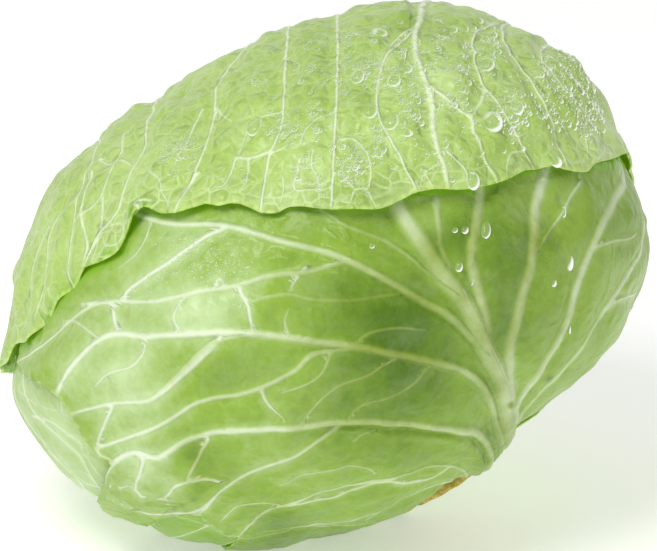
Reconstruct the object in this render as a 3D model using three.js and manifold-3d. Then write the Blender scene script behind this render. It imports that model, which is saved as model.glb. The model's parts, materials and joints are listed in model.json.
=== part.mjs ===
// A head of green cabbage lying on its side: wrapper leaves around a tight heart on a cut stem.
//
// Everything is built in the head's own frame, in millimetres, with its origin in the middle of
// the head: x to the right across its broad face, y up that face, z straight out of it. The whole
// head is then tipped back and set on the floor, on the flat spot under its weight.
//
// Each leaf is a thin shell that follows the head's surface at its own depth, so leaves lie in
// layers and never cross. A leaf is laid out along its veins: every vein is a route from the
// stem to the leaf's edge, and the blade is stretched between neighbouring routes.

import * as THREE from 'three';
import { mergeVertices } from 'three/addons/utils/BufferGeometryUtils.js';
import Module from 'manifold-3d';

// ---- driving dimensions, in millimetres -------------------------------------------------------

// Radius of the broad face's outline every 10 degrees, from the right and counterclockwise.
const OUTLINE_RADII = [
  107, 110, 108, 107, 108, 104, 100, 96, 90, 85, 83, 80, 79, 79, 83, 88, 93, 97,
  101, 105, 115, 114.5, 112.5, 106.5, 105.5, 98, 93, 87, 87, 87, 85, 87.5, 84.5, 87, 94, 102,
];
const HALF_DEPTH = 104; // from the middle of the head straight out, to the front or the back
const FACE_TILT = THREE.MathUtils.degToRad(70); // the broad face leans back 20 degrees from upright
const CENTRE_HEIGHT = 86.5; // middle of the head above the floor

// The underside swells a little under the weight, and is pressed flat by the floor.
const SWELL_TOP = new THREE.Vector3(8, -77.9, -34).normalize();
const SWELL_HEIGHT = 6;
const SWELL_SPREAD = 0.2; // radians

// The leaves draw in to a shallow hollow around the stem.
const HOLLOW_DEPTH = 14;
const HOLLOW_SPREAD = 0.2; // radians

// The stem leaves the head low on the right and slightly backward.
const STEM_AXIS = new THREE.Vector3(0.5, -0.857, -0.12).normalize();
const STEM_END = 83.2; // cut face, from the middle of the head
const STEM_ROOT = 44; // where the stem's core ends inside the heart
const STEM_RADIUS = 13.5;
const STEM_TIP_RADIUS = 7;
const STEM_TAPER = 16; // the core widens from its tip over this length
const STEM_SIDES = 28;
const CUT_BEVEL = 1.2;
const SEAT_END = 95; // the stem's seat is cut in the heart out to here
const BASE_START = 80.5; // the leaves' veins start this far from the middle
const BASE_REACH = 0.208; // leaves start this many radians from the stem's axis
const RIDGE_RISE = 0.16; // and their ridges reach full height over this many more
const FIT_GAP = 0.3; // between pieces that touch

const BLADE = 1.3; // thickness of a leaf blade
const EDGE = 0.8; // thickness at its edge

// Layers, from the outside in: depth of each piece's outer face under the head's surface.
const CAP_DEPTH = 0;
const FRONT_DEPTH = 3.2;
const LEFT_DEPTH = 5.8;
const UNDER_DEPTH = 5.8;
const HEART_DEPTH = 10.8;
const HEART_SIDES = 36;
const HEART_RINGS = 20;

const BULGE_SPAN = 24; // a blade bulges fully where its veins are this far apart
const BLADE_STEP = 15; // the blade is cut across about this finely between two veins
const RIM_SHARE = 0.8; // a long rim counts this much against the blade's width there
const FOOT_SHARE = 0.32; // a ridge's foot takes at most this share of the blade beside it
const GAP_PLACES = [0.5, 0.75]; // where along two veins the blade's width is taken
const LIFT_REACH = 28; // a lifted edge settles back on the head over this length
const EDGE_BLEND = 8; // power with which the blade's rows take up the shape of its edge

// ---- veins ------------------------------------------------------------------------------------
//
// Points are near the head's surface, and only their direction from the middle counts. height and
// width are the ridge's height and half width at the stem and at the edge; lift is how far the
// leaf's edge stands off at the vein's end; edge holds the leaf's outline on to the next vein.

// The outermost leaf rises from the stem over the back and hangs over the top of the broad face.
const CAP_VEINS = [
  {
    name: 'right edge', height: [0, 0], width: [3, 2], lift: 0,
    route: [
      [58, -52, -14], [66, -45, -10], [77, -30, -38], [84, -16, -56], [96, 8, -48], [101, 23, -37],
      [103, 34, -11], [103, 37, 1],
    ],
    edge: [[101.5, 41, 7], [98, 40, 22], [93, 38, 38], [89, 37, 46]],
  },
  {
    name: 'right vein', height: [1.6, 0.5], width: [3, 1.3], lift: 0.1,
    route: [
      [52, -40, -64], [60, -12, -83], [66, 22, -80], [70, 50, -63], [71, 72, 33], [77, 62, 42],
      [84, 53, 38], [90, 44, 36], [87, 36, 51],
    ],
    edge: [[85, 34, 55], [80, 33, 61]],
  },
  {
    name: 'third right vein', height: [2.2, 0.6], width: [3, 1.4], lift: 1,
    route: [
      [44, -38, -74], [48, -8, -91], [52, 28, -87], [56, 60, -65], [58, 81, 23], [60, 73, 42],
      [65, 65, 53], [70, 57, 58], [73, 48, 60], [77, 34, 65],
    ],
    edge: [[72, 35, 69]],
  },
  {
    name: 'second right vein', height: [2.2, 0.6], width: [3, 1.4], lift: 0.3,
    route: [
      [41, -37, -78], [44, -5, -94], [47, 30, -89], [51, 60, -68], [55, 82, 24], [49, 79, 40],
      [48, 73, 53], [50, 64, 65], [56, 53, 72], [60, 47, 73], [66, 34, 75],
    ],
    edge: [[62, 33, 78], [56, 30, 84], [49, 28, 88], [44, 27, 91]],
  },
  {
    name: 'midrib', height: [4.5, 0.9], width: [5, 1.8], lift: 3,
    route: [
      [38, -35, -82], [36, 0, -98], [33, 35, -93], [31, 65, -71], [32, 89, 19], [31, 84, 38],
      [29, 77, 54], [30, 69, 67], [34, 56, 79], [35, 45, 87], [38, 27, 94],
    ],
    edge: [[33, 27, 96]],
  },
  {
    name: 'first left vein', height: [2.2, 0.6], width: [3, 1.3], lift: 3,
    route: [
      [34, -36, -84], [32, 0, -99], [28, 36, -93], [26, 66, -71], [26, 89, 18], [26, 77, 55],
      [19, 69, 66], [17, 52, 85], [24, 37, 94], [28, 26, 97],
    ],
    edge: [[22, 23, 99], [17, 21, 100], [11, 21, 101]],
  },
  {
    name: 'second left vein', height: [2.2, 0.6], width: [3, 1.4], lift: 0.4,
    route: [
      [24, -40, -87], [14, -5, -103], [7, 30, -98], [3, 65, -68], [4, 84, 20], [4, 63, 72],
      [3, 43, 90], [2, 21, 101],
    ],
    edge: [[-8, 22, 99], [-12, 22, 99], [-15, 20, 98]],
  },
  {
    name: 'third left vein', height: [2.2, 0.7], width: [3, 1.4], lift: 0.6,
    route: [
      [16, -43, -87], [2, -10, -103], [-9, 25, -98], [-14, 58, -71], [-12, 82, 14], [-13, 65, 63],
      [-14, 48, 82], [-18, 37, 89], [-20, 20, 97],
    ],
    edge: [[-28, 23, 93], [-33, 22, 92], [-37, 23, 90], [-41, 22, 89]],
  },
  {
    name: 'fourth left vein', height: [1.8, 0.6], width: [3, 1.4], lift: 1.6, cuts: 4,
    route: [
      [10, -46, -87], [-10, -15, -102], [-25, 20, -96], [-30, 52, -68], [-25, 76, 15],
      [-34, 64, 41], [-36, 50, 65], [-40, 36, 78], [-47, 20, 86],
    ],
    edge: [[-53, 20.5, 83], [-56, 22, 79], [-59.5, 21, 78], [-62, 16, 78], [-65, 9, 77], [-69, 6, 75]],
  },
  {
    name: 'fifth left vein', height: [1.6, 0.6], width: [3, 1.4], lift: 1.8,
    route: [
      [3, -52, -83], [-28, -25, -98], [-49, 5, -90], [-58, 35, -66], [-55, 58, 0], [-59, 42, 55],
      [-64, 28, 67], [-66, 21, 70], [-73, 12, 67], [-76, 3, 67],
    ],
    edge: [[-79, -1, 65]],
  },
  {
    name: 'sixth left vein', height: [1.4, 0.4], width: [3, 1.3], lift: 2.2,
    route: [
      [-4, -60, -77], [-42, -34, -91], [-66, -8, -80], [-78, 20, -56], [-74, 44, 19], [-80, 17, 54],
      [-83, 6, 56], [-81, -4, 63],
    ],
    edge: [[-85, -7, 57], [-90, -14, 51], [-93, -17, 46], [-97, -21, 40], [-102, -23, 23]],
  },
  {
    name: 'left edge', height: [0, 0], width: [3, 2], lift: 1.5,
    route: [[-8, -68, -69], [-42, -57, -77], [-72, -45, -69], [-93, -35, -53], [-105, -28, 20]],
    edge: [],
  },
];

// The big front leaf: its stalk stands at the right of the stem, and its blade wraps both the
// broad face and the head's right side, with the edges of the cap leaf over it.
const FRONT_VEINS = [
  {
    name: 'basal edge', height: [0, 0], width: [3, 2], lift: 1,
    route: [
      [35, -72.5, 7.5], [30, -74.5, 1], [22, -76, -10], [10, -77, -32], [-5, -73, -50],
      [-20, -70, -58],
    ],
    edge: [[-31, -74, -50], [-37, -80, -34], [-34, -85, -15]],
  },
  {
    name: 'bottom vein', height: [1, 0.4], width: [2, 1.2], lift: 0,
    route: [
      [41, -67, 24], [35, -68, 36], [26, -71, 40], [13, -79, 31], [2, -81, 26], [-10, -81, 34],
      [-28, -85, 25],
    ],
    edge: [],
  },
  {
    name: 'seventh lateral', height: [1.2, 0.5], width: [2, 1.3], lift: 0,
    route: [
      [45, -63, 32], [41, -61, 45], [34, -61, 53], [24, -64, 57], [13, -66, 60], [1, -69, 57],
      [-14, -74, 56], [-21, -77, 50], [-29, -84, 29],
    ],
    edge: [[-32, -81, 37], [-38, -78, 46]],
  },
  {
    name: 'sixth lateral', height: [2, 0.8], width: [3, 1.6], lift: 0,
    route: [
      [49, -60, 32], [48, -56, 46], [42, -52, 60], [22, -51, 75], [5, -49.5, 82], [-11, -58, 77],
      [-21, -61, 72], [-33, -68, 63], [-40, -75, 52],
    ],
    edge: [
      [-44, -76, 50], [-52, -78, 38], [-58, -80, 24], [-65, -78, 14], [-70, -78, 6], [-72, -72, 24],
      [-71, -67, 40],
    ],
  },
  {
    name: 'fifth lateral', height: [3, 1.2], width: [3.5, 2.2], lift: 0.8,
    route: [
      [52, -58, 29], [51.5, -53.5, 43], [47, -49.5, 56], [35, -48, 70], [22, -47, 78],
      [11, -46, 83], [-8, -48, 85], [-33, -49, 82], [-45, -53, 75], [-53, -57, 68], [-61, -56, 65],
      [-68, -60, 56],
    ],
    edge: [[-69, -59, 56], [-72, -57, 55]],
  },
  {
    name: 'fourth lateral', height: [2, 0.5], width: [3, 1.6], lift: 0.6,
    route: [
      [54, -57, 26], [53, -50, 43], [51, -42, 57], [47, -36.5, 68], [41, -32.5, 76], [32, -29, 85],
      [19, -26.5, 92], [9, -24, 96], [-1, -23, 97], [-11, -31, 95], [-26, -37, 90], [-40, -40, 85],
      [-50, -46, 78], [-73, -55, 56],
    ],
    edge: [[-78, -50, 55], [-80, -47, 55]],
  },
  {
    name: 'third lateral fork', height: [2.4, 0.8], width: [3, 1.8], lift: 0.6,
    route: [
      [55, -57, 21], [54, -49, 43], [52, -41, 58], [47.5, -35.2, 69], [41.5, -31, 78],
      [31.5, -27.8, 86], [19, -25.3, 93], [9, -23, 96.5], [-4, -21.8, 98], [-16, -20.5, 98],
      [-33, -20, 95], [-51, -36, 83], [-55, -39, 80], [-69, -41, 70], [-81, -44, 56],
    ],
    edge: [[-85, -41, 55]],
  },
  {
    name: 'third lateral', height: [3, 1], width: [3.5, 2], lift: 0.6,
    route: [
      [56, -57, 17], [55, -48, 43], [53, -40.5, 58], [48.5, -33.5, 70], [42, -29.5, 79],
      [31, -26.3, 86], [19, -24, 94], [9, -22, 97], [-4, -20.5, 98], [-16, -19, 98], [-33, -18, 95],
      [-56, -19, 86], [-69, -19, 76], [-80, -28, 65], [-86, -38, 55],
    ],
    edge: [[-89, -37, 52], [-90, -35, 51], [-96, -33, 42]],
  },
  {
    name: 'second lateral', height: [2, 0.5], width: [3, 1.5], lift: 0.2,
    route: [
      [57, -57, 13], [56, -48, 42], [54, -38, 58], [51.5, -32.5, 68], [45, -22, 83],
      [39, -16.5, 88], [30.5, -11.5, 95], [14, -3, 100], [3, 0.5, 101], [-7, 1, 100.5],
      [-17, 0, 99], [-28, -3, 97], [-40, -5, 93], [-54, -8, 85], [-73, -9, 69], [-92, -23, 45],
      [-100, -28, 28],
    ],
    edge: [[-97, -14, 22], [-86, 8, 42]],
  },
  {
    name: 'first lateral', height: [2.6, 0.7], width: [3.5, 1.6], lift: 0,
    route: [
      [57.5, -57, 9], [56.5, -47.5, 41], [55, -38, 58], [52.5, -31, 69], [46.5, -19.5, 83.5],
      [39.5, -13, 90], [31, -8, 95], [14, 1.5, 100], [2, 7, 101], [-14, 11, 98], [-32, 16, 92],
      [-51, 17, 82], [-73, 26, 52], [-80, 29, 38],
    ],
    edge: [[-70, 38, 48], [-58, 45, 56]],
  },
  {
    name: 'top lateral', height: [1.4, 0.3], width: [2.5, 1.4], lift: 0,
    route: [
      [58, -57, 5], [57, -47, 40.5], [55.7, -38, 57], [53.3, -29, 72], [50, -21, 80.5],
      [45.7, -13.5, 87], [39.5, -6, 92], [31, 3, 97], [20, 10.5, 98], [5, 17, 99], [-11, 29, 92],
      [-30, 41, 76], [-42, 48, 66],
    ],
    edge: [[-20, 58, 70]],
  },
  {
    name: 'midrib', height: [5, 0.8], width: [6, 2.6], lift: 0,
    route: [
      [58.7, -57, 1], [58, -47, 39], [57, -38, 55], [54.7, -30, 69], [51.3, -23, 78],
      [45.5, -10, 89], [39.3, -2, 94], [31, 10, 96], [23, 22, 96], [13, 43, 88], [4, 64, 70],
    ],
    edge: [[26, 65, 66]],
  },
  {
    name: 'first right vein', height: [2, 0.4], width: [2.5, 1.6], lift: 0,
    route: [
      [59.3, -57, -3], [59, -47, 37], [58.3, -38, 53], [56.3, -29, 68], [53.5, -22, 77],
      [51, -14, 83], [48, -2, 89], [47, 7, 91], [48, 17, 88], [50, 35, 82], [49, 43, 79],
      [48, 60, 66],
    ],
    edge: [[64, 58, 56]],
  },
  {
    name: 'second right vein', height: [2.2, 0.7], width: [3, 1.8], lift: 0,
    route: [
      [60, -56.5, -7], [60, -47, 34], [59.7, -38, 51], [59, -31, 62], [60, -21, 73], [62.5, -9, 78],
      [65, 4, 78], [66, 11, 78], [67, 23, 74], [74, 44, 56], [77, 55, 42],
    ],
    edge: [[88, 50, 26]],
  },
  {
    name: 'right fold', height: [2.4, 0.8], width: [3.5, 2.2], lift: 0,
    route: [
      [60.5, -56, -11], [61, -48, 28], [62, -41, 43], [67, -34, 49], [78, -16, 60], [82, -2, 62],
      [87, 13, 57], [94, 25, 40], [98, 35, 16], [99, 45, 8],
    ],
    edge: [[102, 44, -2]],
  },
  {
    name: 'outer right vein', height: [1.6, 0.6], width: [3, 1.8], lift: 0,
    route: [
      [61, -55, -15], [62, -48, 20], [64, -43, 33], [76, -33, 37], [86, -19, 43], [95, -5, 38],
      [102, 7, 24], [105, 18, 6], [104, 36, -12],
    ],
    edge: [[97, 42, -20]],
  },
  {
    name: 'right edge', height: [0, 0], width: [3, 2], lift: 0,
    route: [[60, -52, -22], [66, -38, -43], [72, -18, -64], [80, 4, -65], [86, 24, -55], [88, 44, -33]],
    edge: [],
  },
];

// A paler leaf under the front leaf, out at the lower left and around the back.
const LEFT_VEINS = [
  {
    name: 'back edge', height: [0, 0], width: [2, 2], lift: 0,
    route: [[-6, -70, -56], [-38, -50, -77], [-62, -36, -74], [-78, -14, -60], [-80, 12, -47]],
    edge: [[-86, 10, -40]],
  },
  {
    name: 'back vein', height: [1, 0.4], width: [3, 1.6], lift: 0,
    route: [[-4, -76, -47], [-42, -62, -62], [-70, -48, -60], [-90, -22, -44], [-92, 6, -32]],
    edge: [[-97, 4, -24]],
  },
  {
    name: 'under', height: [0.2, 0.4], width: [3, 1.6], lift: 0,
    route: [
      [-2, -79, -42], [-40, -70, -52], [-68, -61, -46], [-90, -45, -28], [-99, -26, -18],
      [-99, -6, -14],
    ],
    edge: [[-102, -7, -4]],
  },
  {
    name: 'ridge', height: [0.2, 0.6], width: [3, 2], lift: 0,
    route: [
      [0, -81, -36], [-32, -77, -40], [-56, -72, -28], [-74, -69, 2], [-80, -66, 20],
      [-90, -57, 18], [-98, -45, 14], [-103, -32, 8], [-103, -12, 4],
    ],
    edge: [[-101, -12, 15]],
  },
  {
    name: 'vein', height: [0.2, 0.7], width: [2, 1.5], lift: 0,
    route: [
      [3, -83, -30], [-28, -80, -34], [-50, -77, -24], [-66, -74, 4], [-73, -67, 30],
      [-80, -58, 40], [-94, -45, 30], [-98, -30, 28], [-97, -12, 26],
    ],
    edge: [[-93, -9, 37]],
  },
  {
    name: 'front edge', height: [0, 0], width: [2, 2], lift: 0,
    route: [
      [6, -84, -24], [-26, -82, -28], [-48, -79, -20], [-62, -77, -2], [-65, -71, 26],
      [-64, -62, 48], [-70, -46, 59], [-84, -26, 52], [-88, -6, 46],
    ],
    edge: [],
  },
];

// A short leaf whose rim shows along the bottom, under the front leaf.
const UNDER_VEINS = [
  {
    name: 'under edge', height: [0, 0], width: [2, 2], lift: 0,
    route: [[28, -71, 9], [21, -76, 2], [8, -82, -6], [-12, -84, -12], [-24, -84, -18]],
    edge: [[-29, -85, -13]],
  },
  {
    name: 'last vein', height: [0.6, 0.3], width: [2, 1.4], lift: 0,
    route: [[29, -68, 24], [8, -76, 24], [-8, -81, 16], [-21, -84, 4], [-33, -86, -6]],
    edge: [[-38, -87, -3]],
  },
  {
    name: 'midrib', height: [1, 0.3], width: [2.4, 1.6], lift: 0,
    route: [[31, -65, 34], [24, -65, 41], [5, -70, 45], [-15, -77, 38], [-31, -83, 14], [-43, -87, 2]],
    edge: [[-48, -86, 4]],
  },
  {
    name: 'first vein', height: [0.6, 0.3], width: [2, 1.4], lift: 0,
    route: [[31, -63, 40], [24, -59, 53], [5, -62, 60], [-21, -70, 54], [-37, -78, 35], [-51, -84, 8]],
    edge: [[-55, -81, 8]],
  },
  {
    name: 'front edge', height: [0, 0], width: [2, 2], lift: 0,
    route: [[32, -60, 46], [24, -53, 64], [5, -52, 72], [-21, -59, 68], [-44, -69, 51], [-57, -79, 8]],
    edge: [],
  },
];

const LEAVES = [
  {
    name: 'leaf_cap', veins: CAP_VEINS, depth: CAP_DEPTH, rows: 20, bulge: 0.5,
    base: [-52, -128], color: '#a9c96c', roughness: 0.45,
  },
  {
    name: 'leaf_front', veins: FRONT_VEINS, depth: FRONT_DEPTH, rows: 18, bulge: 0.8,
    base: [92, -35], color: '#9dbb62', roughness: 0.45,
  },
  {
    name: 'leaf_left', veins: LEFT_VEINS, depth: LEFT_DEPTH, rows: 12, bulge: 0.4,
    base: [215, 150], color: '#b9d184', roughness: 0.45,
  },
  {
    name: 'leaf_under', veins: UNDER_VEINS, depth: UNDER_DEPTH, rows: 10, bulge: 0,
    base: [140, 60], color: '#a3b84a', roughness: 0.5,
  },
];

// ---- the head's surface -----------------------------------------------------------------------

const DOWN = new THREE.Vector3(0, -Math.sin(FACE_TILT), -Math.cos(FACE_TILT));
const LEAST_FALL = 0.05; // a direction that falls less than this never meets the floor

// Radius of the outline in a direction on the broad face, by a smooth curve through the radii.
function outlineRadius(angle) {
  const count = OUTLINE_RADII.length;
  const place = ((angle / (2 * Math.PI)) * count + count) % count;
  const step = Math.floor(place);
  const f = place - step;
  const [a, b, c, d] = [-1, 0, 1, 2].map((k) => OUTLINE_RADII[(step + k + count) % count]);
  return 0.5 * (2 * b + (c - a) * f + (2 * a - 5 * b + 4 * c - d) * f * f
    + (3 * b - a - 3 * c + d) * f * f * f);
}

function bell(away) {
  return Math.exp(-away * away / 2);
}

// Distance from the middle of the head to its surface along a unit direction.
function headRadius(direction) {
  const { x, y, z } = direction;
  const outline = outlineRadius(Math.atan2(y, x));
  const radius = 1 / Math.sqrt((x * x + y * y) / outline ** 2 + (z / HALF_DEPTH) ** 2);
  const swell = SWELL_HEIGHT * bell(direction.angleTo(SWELL_TOP) / SWELL_SPREAD);
  const hollow = HOLLOW_DEPTH * bell(direction.angleTo(STEM_AXIS) / HOLLOW_SPREAD);
  return radius + swell - hollow;
}

// A layer's surface, kept above the floor: the front leaf lies on it, deeper layers above that.
function layerRadius(direction, depth, raise) {
  const free = headRadius(direction) - depth + raise;
  const fall = direction.dot(DOWN);
  const room = CENTRE_HEIGHT - Math.max(depth - FRONT_DEPTH, 0);
  return fall > LEAST_FALL ? Math.min(free, room / fall) : free;
}

// ---- leaves -----------------------------------------------------------------------------------

// Two directions square to the stem: to its right end, and to its side nearest the broad face.
const STEM_SIDE = new THREE.Vector3(0, 0, 1).cross(STEM_AXIS).normalize();
const STEM_FRONT = STEM_AXIS.clone().cross(STEM_SIDE).normalize();

// Point where a leaf leaves the stem, by its angle around the stem in degrees.
function stemPoint(angle) {
  const turn = THREE.MathUtils.degToRad(angle);
  const across = STEM_SIDE.clone().multiplyScalar(Math.cos(turn));
  across.addScaledVector(STEM_FRONT, Math.sin(turn)).multiplyScalar(Math.sin(BASE_REACH));
  return across.addScaledVector(STEM_AXIS, Math.cos(BASE_REACH)).multiplyScalar(BASE_START);
}

// Each vein's route as a smooth curve from the stem to its end.
function veinCurve(leaf, vein, index) {
  const [from, to] = leaf.base;
  const angle = THREE.MathUtils.lerp(from, to, index / (leaf.veins.length - 1));
  const points = vein.route.map((point) => new THREE.Vector3(...point));
  return new THREE.CatmullRomCurve3([stemPoint(angle), ...points], false, 'centripetal');
}

// Share of a vein's length at row position t. Near the stem all veins keep step in millimetres.
function shareAt(t, length, commonLength) {
  const own = t * t * (3 - 2 * t);
  return t * THREE.MathUtils.lerp(commonLength / length, 1, own);
}

// Point at share f along the edge between two veins' ends.
function edgePoint(points, f) {
  const lengths = points.slice(1).map((point, i) => point.distanceTo(points[i]));
  let rest = f * lengths.reduce((sum, length) => sum + length, 0);
  let i = 0;
  while (i < lengths.length - 1 && rest > lengths[i]) {
    rest -= lengths[i];
    i += 1;
  }
  return points[i].clone().lerp(points[i + 1], Math.min(rest / lengths[i], 1));
}

// Positions across the blade between two veins: crest, foot of its ridge, blade, next foot.
function crossShares(gap, cuts, widthHere, widthNext) {
  const from = Math.min(widthHere / gap, FOOT_SHARE);
  const to = 1 - Math.min(widthNext / gap, FOOT_SHARE);
  const middles = Array.from({ length: cuts }, (_, i) => from + ((to - from) * (i + 1)) / (cuts + 1));
  return [0, from, ...middles, to];
}

// How many cuts the blade needs after each vein: its own number, or one from its widest gap and
// from its edge on to the next vein.
function bladeCuts(veins, curves, edges) {
  return curves.slice(1).map((curve, i) => {
    const gaps = GAP_PLACES.map((u) => curve.getPointAt(u).distanceTo(curves[i].getPointAt(u)));
    const rim = edges[i].slice(1).reduce((sum, point, k) => sum + point.distanceTo(edges[i][k]), 0);
    const needed = Math.round(Math.max(...gaps, rim * RIM_SHARE) / BLADE_STEP) - 1;
    return veins[i].cuts ?? Math.max(1, needed);
  });
}

// Height of the vein ridges at a point of a row.
function ridgeHeight(leaf, crests, point, t) {
  const fromStem = point.angleTo(STEM_AXIS);
  const rise = THREE.MathUtils.smoothstep(fromStem, BASE_REACH, BASE_REACH + RIDGE_RISE);
  let highest = 0;
  leaf.veins.forEach((vein, k) => {
    const width = THREE.MathUtils.lerp(vein.width[0], vein.width[1], t);
    const away = point.distanceTo(crests[k]) / width;
    const height = rise * THREE.MathUtils.lerp(vein.height[0], vein.height[1], Math.sqrt(t));
    if (away < 1) highest = Math.max(highest, height * (1 - away * away) ** 2);
  });
  return highest;
}

// One row of the leaf from its first edge to its last: points on its outer and inner face.
function leafRow(leaf, curves, cuts, edges, commonLength, t) {
  const crests = curves.map((curve) => (
    curve.getPointAt(Math.min(shareAt(t, curve.getLength(), commonLength), 1))));
  const outer = [];
  const inner = [];
  const last = leaf.veins.length - 1;
  for (let i = 0; i <= last; i += 1) {
    const next = Math.min(i + 1, last);
    const gap = Math.max(crests[i].distanceTo(crests[next]), 0.01);
    const widths = [i, next].map((k) => THREE.MathUtils.lerp(...leaf.veins[k].width, t));
    const shares = i < last ? crossShares(gap, cuts[i], ...widths) : [0];
    for (const f of shares) {
      const point = crests[i].clone().lerp(crests[next], f);
      if (i < last) {
        const straight = edges[i][0].clone().lerp(edges[i].at(-1), f);
        point.addScaledVector(edgePoint(edges[i], f).sub(straight), t ** EDGE_BLEND);
      }
      const direction = point.clone().normalize();
      const bulge = leaf.bulge * 4 * f * (1 - f) * Math.min(gap / BULGE_SPAN, 1) ** 2;
      const toEdge = (1 - t) * THREE.MathUtils.lerp(curves[i].getLength(), curves[next].getLength(), f);
      const lift = THREE.MathUtils.lerp(leaf.veins[i].lift, leaf.veins[next].lift, f)
        * Math.max(0, 1 - toEdge / LIFT_REACH) ** 2;
      const blade = layerRadius(direction, leaf.depth, bulge + lift);
      const ridge = layerRadius(direction, leaf.depth, bulge + lift + ridgeHeight(leaf, crests, point, t));
      const thickness = THREE.MathUtils.lerp(BLADE, EDGE, t ** EDGE_BLEND);
      outer.push(direction.clone().multiplyScalar(ridge));
      inner.push(direction.clone().multiplyScalar(blade - thickness));
    }
  }
  return { outer, inner };
}

// Closed shell from rows of outer and inner points, split alike on both faces.
function shellGeometry(rows) {
  const across = rows[0].outer.length;
  const down = rows.length;
  const innerStart = across * down;
  const at = (row, column) => row * across + column;
  const positions = [...rows.flatMap((row) => row.outer), ...rows.flatMap((row) => row.inner)];
  const index = [];
  for (let row = 0; row < down - 1; row += 1) {
    for (let column = 0; column < across - 1; column += 1) {
      const [a, b] = [at(row, column), at(row, column + 1)];
      const [c, d] = [at(row + 1, column), at(row + 1, column + 1)];
      index.push(a, b, d, a, d, c);
      index.push(...[a, d, b, a, c, d].map((vertex) => vertex + innerStart));
    }
  }
  const rim = [];
  for (let column = 0; column < across - 1; column += 1) rim.push([at(0, column + 1), at(0, column)]);
  for (let column = 0; column < across - 1; column += 1) {
    rim.push([at(down - 1, column), at(down - 1, column + 1)]);
  }
  for (let row = 0; row < down - 1; row += 1) rim.push([at(row, 0), at(row + 1, 0)]);
  for (let row = 0; row < down - 1; row += 1) rim.push([at(row + 1, across - 1), at(row, across - 1)]);
  for (const [a, b] of rim) {
    index.push(a, b, b + innerStart, a, b + innerStart, a + innerStart);
  }
  const geometry = new THREE.BufferGeometry();
  geometry.setAttribute('position', new THREE.Float32BufferAttribute(
    positions.flatMap((point) => point.toArray()), 3));
  geometry.setIndex(index);
  return geometry;
}

function leafGeometry(leaf) {
  const curves = leaf.veins.map((vein, index) => veinCurve(leaf, vein, index));
  const ends = curves.map((curve) => curve.points.at(-1));
  const edges = leaf.veins.slice(0, -1).map((vein, i) => (
    [ends[i], ...vein.edge.map((point) => new THREE.Vector3(...point)), ends[i + 1]]));
  const lengths = curves.map((curve) => curve.getLength());
  const commonLength = lengths.reduce((sum, length) => sum + length, 0) / lengths.length;
  const cuts = bladeCuts(leaf.veins, curves, edges);
  const rows = [];
  for (let row = 0; row <= leaf.rows; row += 1) {
    rows.push(leafRow(leaf, curves, cuts, edges, commonLength, row / leaf.rows));
  }
  return shellGeometry(rows);
}

// ---- stem and heart ---------------------------------------------------------------------------

// The cut stem, a turned peg along the stem axis up to its end, with room around it when asked.
function stemGeometry(end, room) {
  const rootRadius = STEM_TIP_RADIUS + room;
  const bodyRadius = STEM_RADIUS + room;
  const profile = [
    new THREE.Vector2(0, STEM_ROOT - room),
    new THREE.Vector2(rootRadius, STEM_ROOT - room),
    new THREE.Vector2(bodyRadius, STEM_ROOT + STEM_TAPER),
    new THREE.Vector2(bodyRadius, end - CUT_BEVEL),
    new THREE.Vector2(bodyRadius - CUT_BEVEL, end),
    new THREE.Vector2(0, end),
  ];
  const geometry = new THREE.LatheGeometry(profile, STEM_SIDES);
  const turn = new THREE.Quaternion().setFromUnitVectors(new THREE.Vector3(0, 1, 0), STEM_AXIS);
  return geometry.applyQuaternion(turn);
}

// The tight inner leaves as one body, before the stem's seat is cut in it.
function heartGeometry() {
  const geometry = new THREE.SphereGeometry(1, HEART_SIDES, HEART_RINGS);
  const positions = geometry.attributes.position;
  const point = new THREE.Vector3();
  for (let i = 0; i < positions.count; i += 1) {
    point.fromBufferAttribute(positions, i).normalize();
    point.multiplyScalar(layerRadius(point, HEART_DEPTH, 0));
    positions.setXYZ(i, point.x, point.y, point.z);
  }
  return geometry;
}

// ---- cutting ----------------------------------------------------------------------------------

const wasm = await Module();
wasm.setup();

function toSolid(geometry) {
  const bare = geometry.clone();
  bare.deleteAttribute('normal');
  bare.deleteAttribute('uv');
  const merged = mergeVertices(bare, 1e-4);
  return new wasm.Manifold(new wasm.Mesh({
    numProp: 3,
    vertProperties: new Float32Array(merged.attributes.position.array),
    triVerts: new Uint32Array(merged.index.array),
  }));
}

function toGeometry(solid) {
  const mesh = solid.getMesh();
  const geometry = new THREE.BufferGeometry();
  geometry.setAttribute('position', new THREE.BufferAttribute(mesh.vertProperties, 3));
  geometry.setIndex(new THREE.BufferAttribute(mesh.triVerts, 1));
  return geometry;
}

// ---- the head ---------------------------------------------------------------------------------

function namedMesh(name, geometry, color, roughness) {
  geometry.computeVertexNormals();
  const material = new THREE.MeshStandardMaterial({ color, roughness, metalness: 0 });
  const mesh = new THREE.Mesh(geometry, material);
  mesh.name = name;
  return mesh;
}

const head = new THREE.Group();
head.rotation.x = FACE_TILT;
head.position.z = CENTRE_HEIGHT;

for (const leaf of LEAVES) {
  head.add(namedMesh(leaf.name, leafGeometry(leaf), leaf.color, leaf.roughness));
}

const heart = toSolid(heartGeometry()).subtract(toSolid(stemGeometry(SEAT_END, FIT_GAP)));
head.add(namedMesh('heart', toGeometry(heart), '#c3d690', 0.5));
head.add(namedMesh('stem', stemGeometry(STEM_END, 0), '#b8963c', 0.8));

const cabbage = new THREE.Group();
cabbage.add(head);

export default cabbage;
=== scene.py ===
"""A head of green cabbage lying on its side: fine leaves, stem, and drops of water on them.

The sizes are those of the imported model. Every leaf is a thin shell on the head's surface, at its
own depth, stretched between guides that run from the stem to the leaf's edge. The veins are
strands laid on that surface, and each vertex keeps its distance to the nearest one.
"""

import json
import math
from dataclasses import dataclass
from functools import partial

import bpy
import numpy as np
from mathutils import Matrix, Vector
from mathutils.bvhtree import BVHTree

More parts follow.
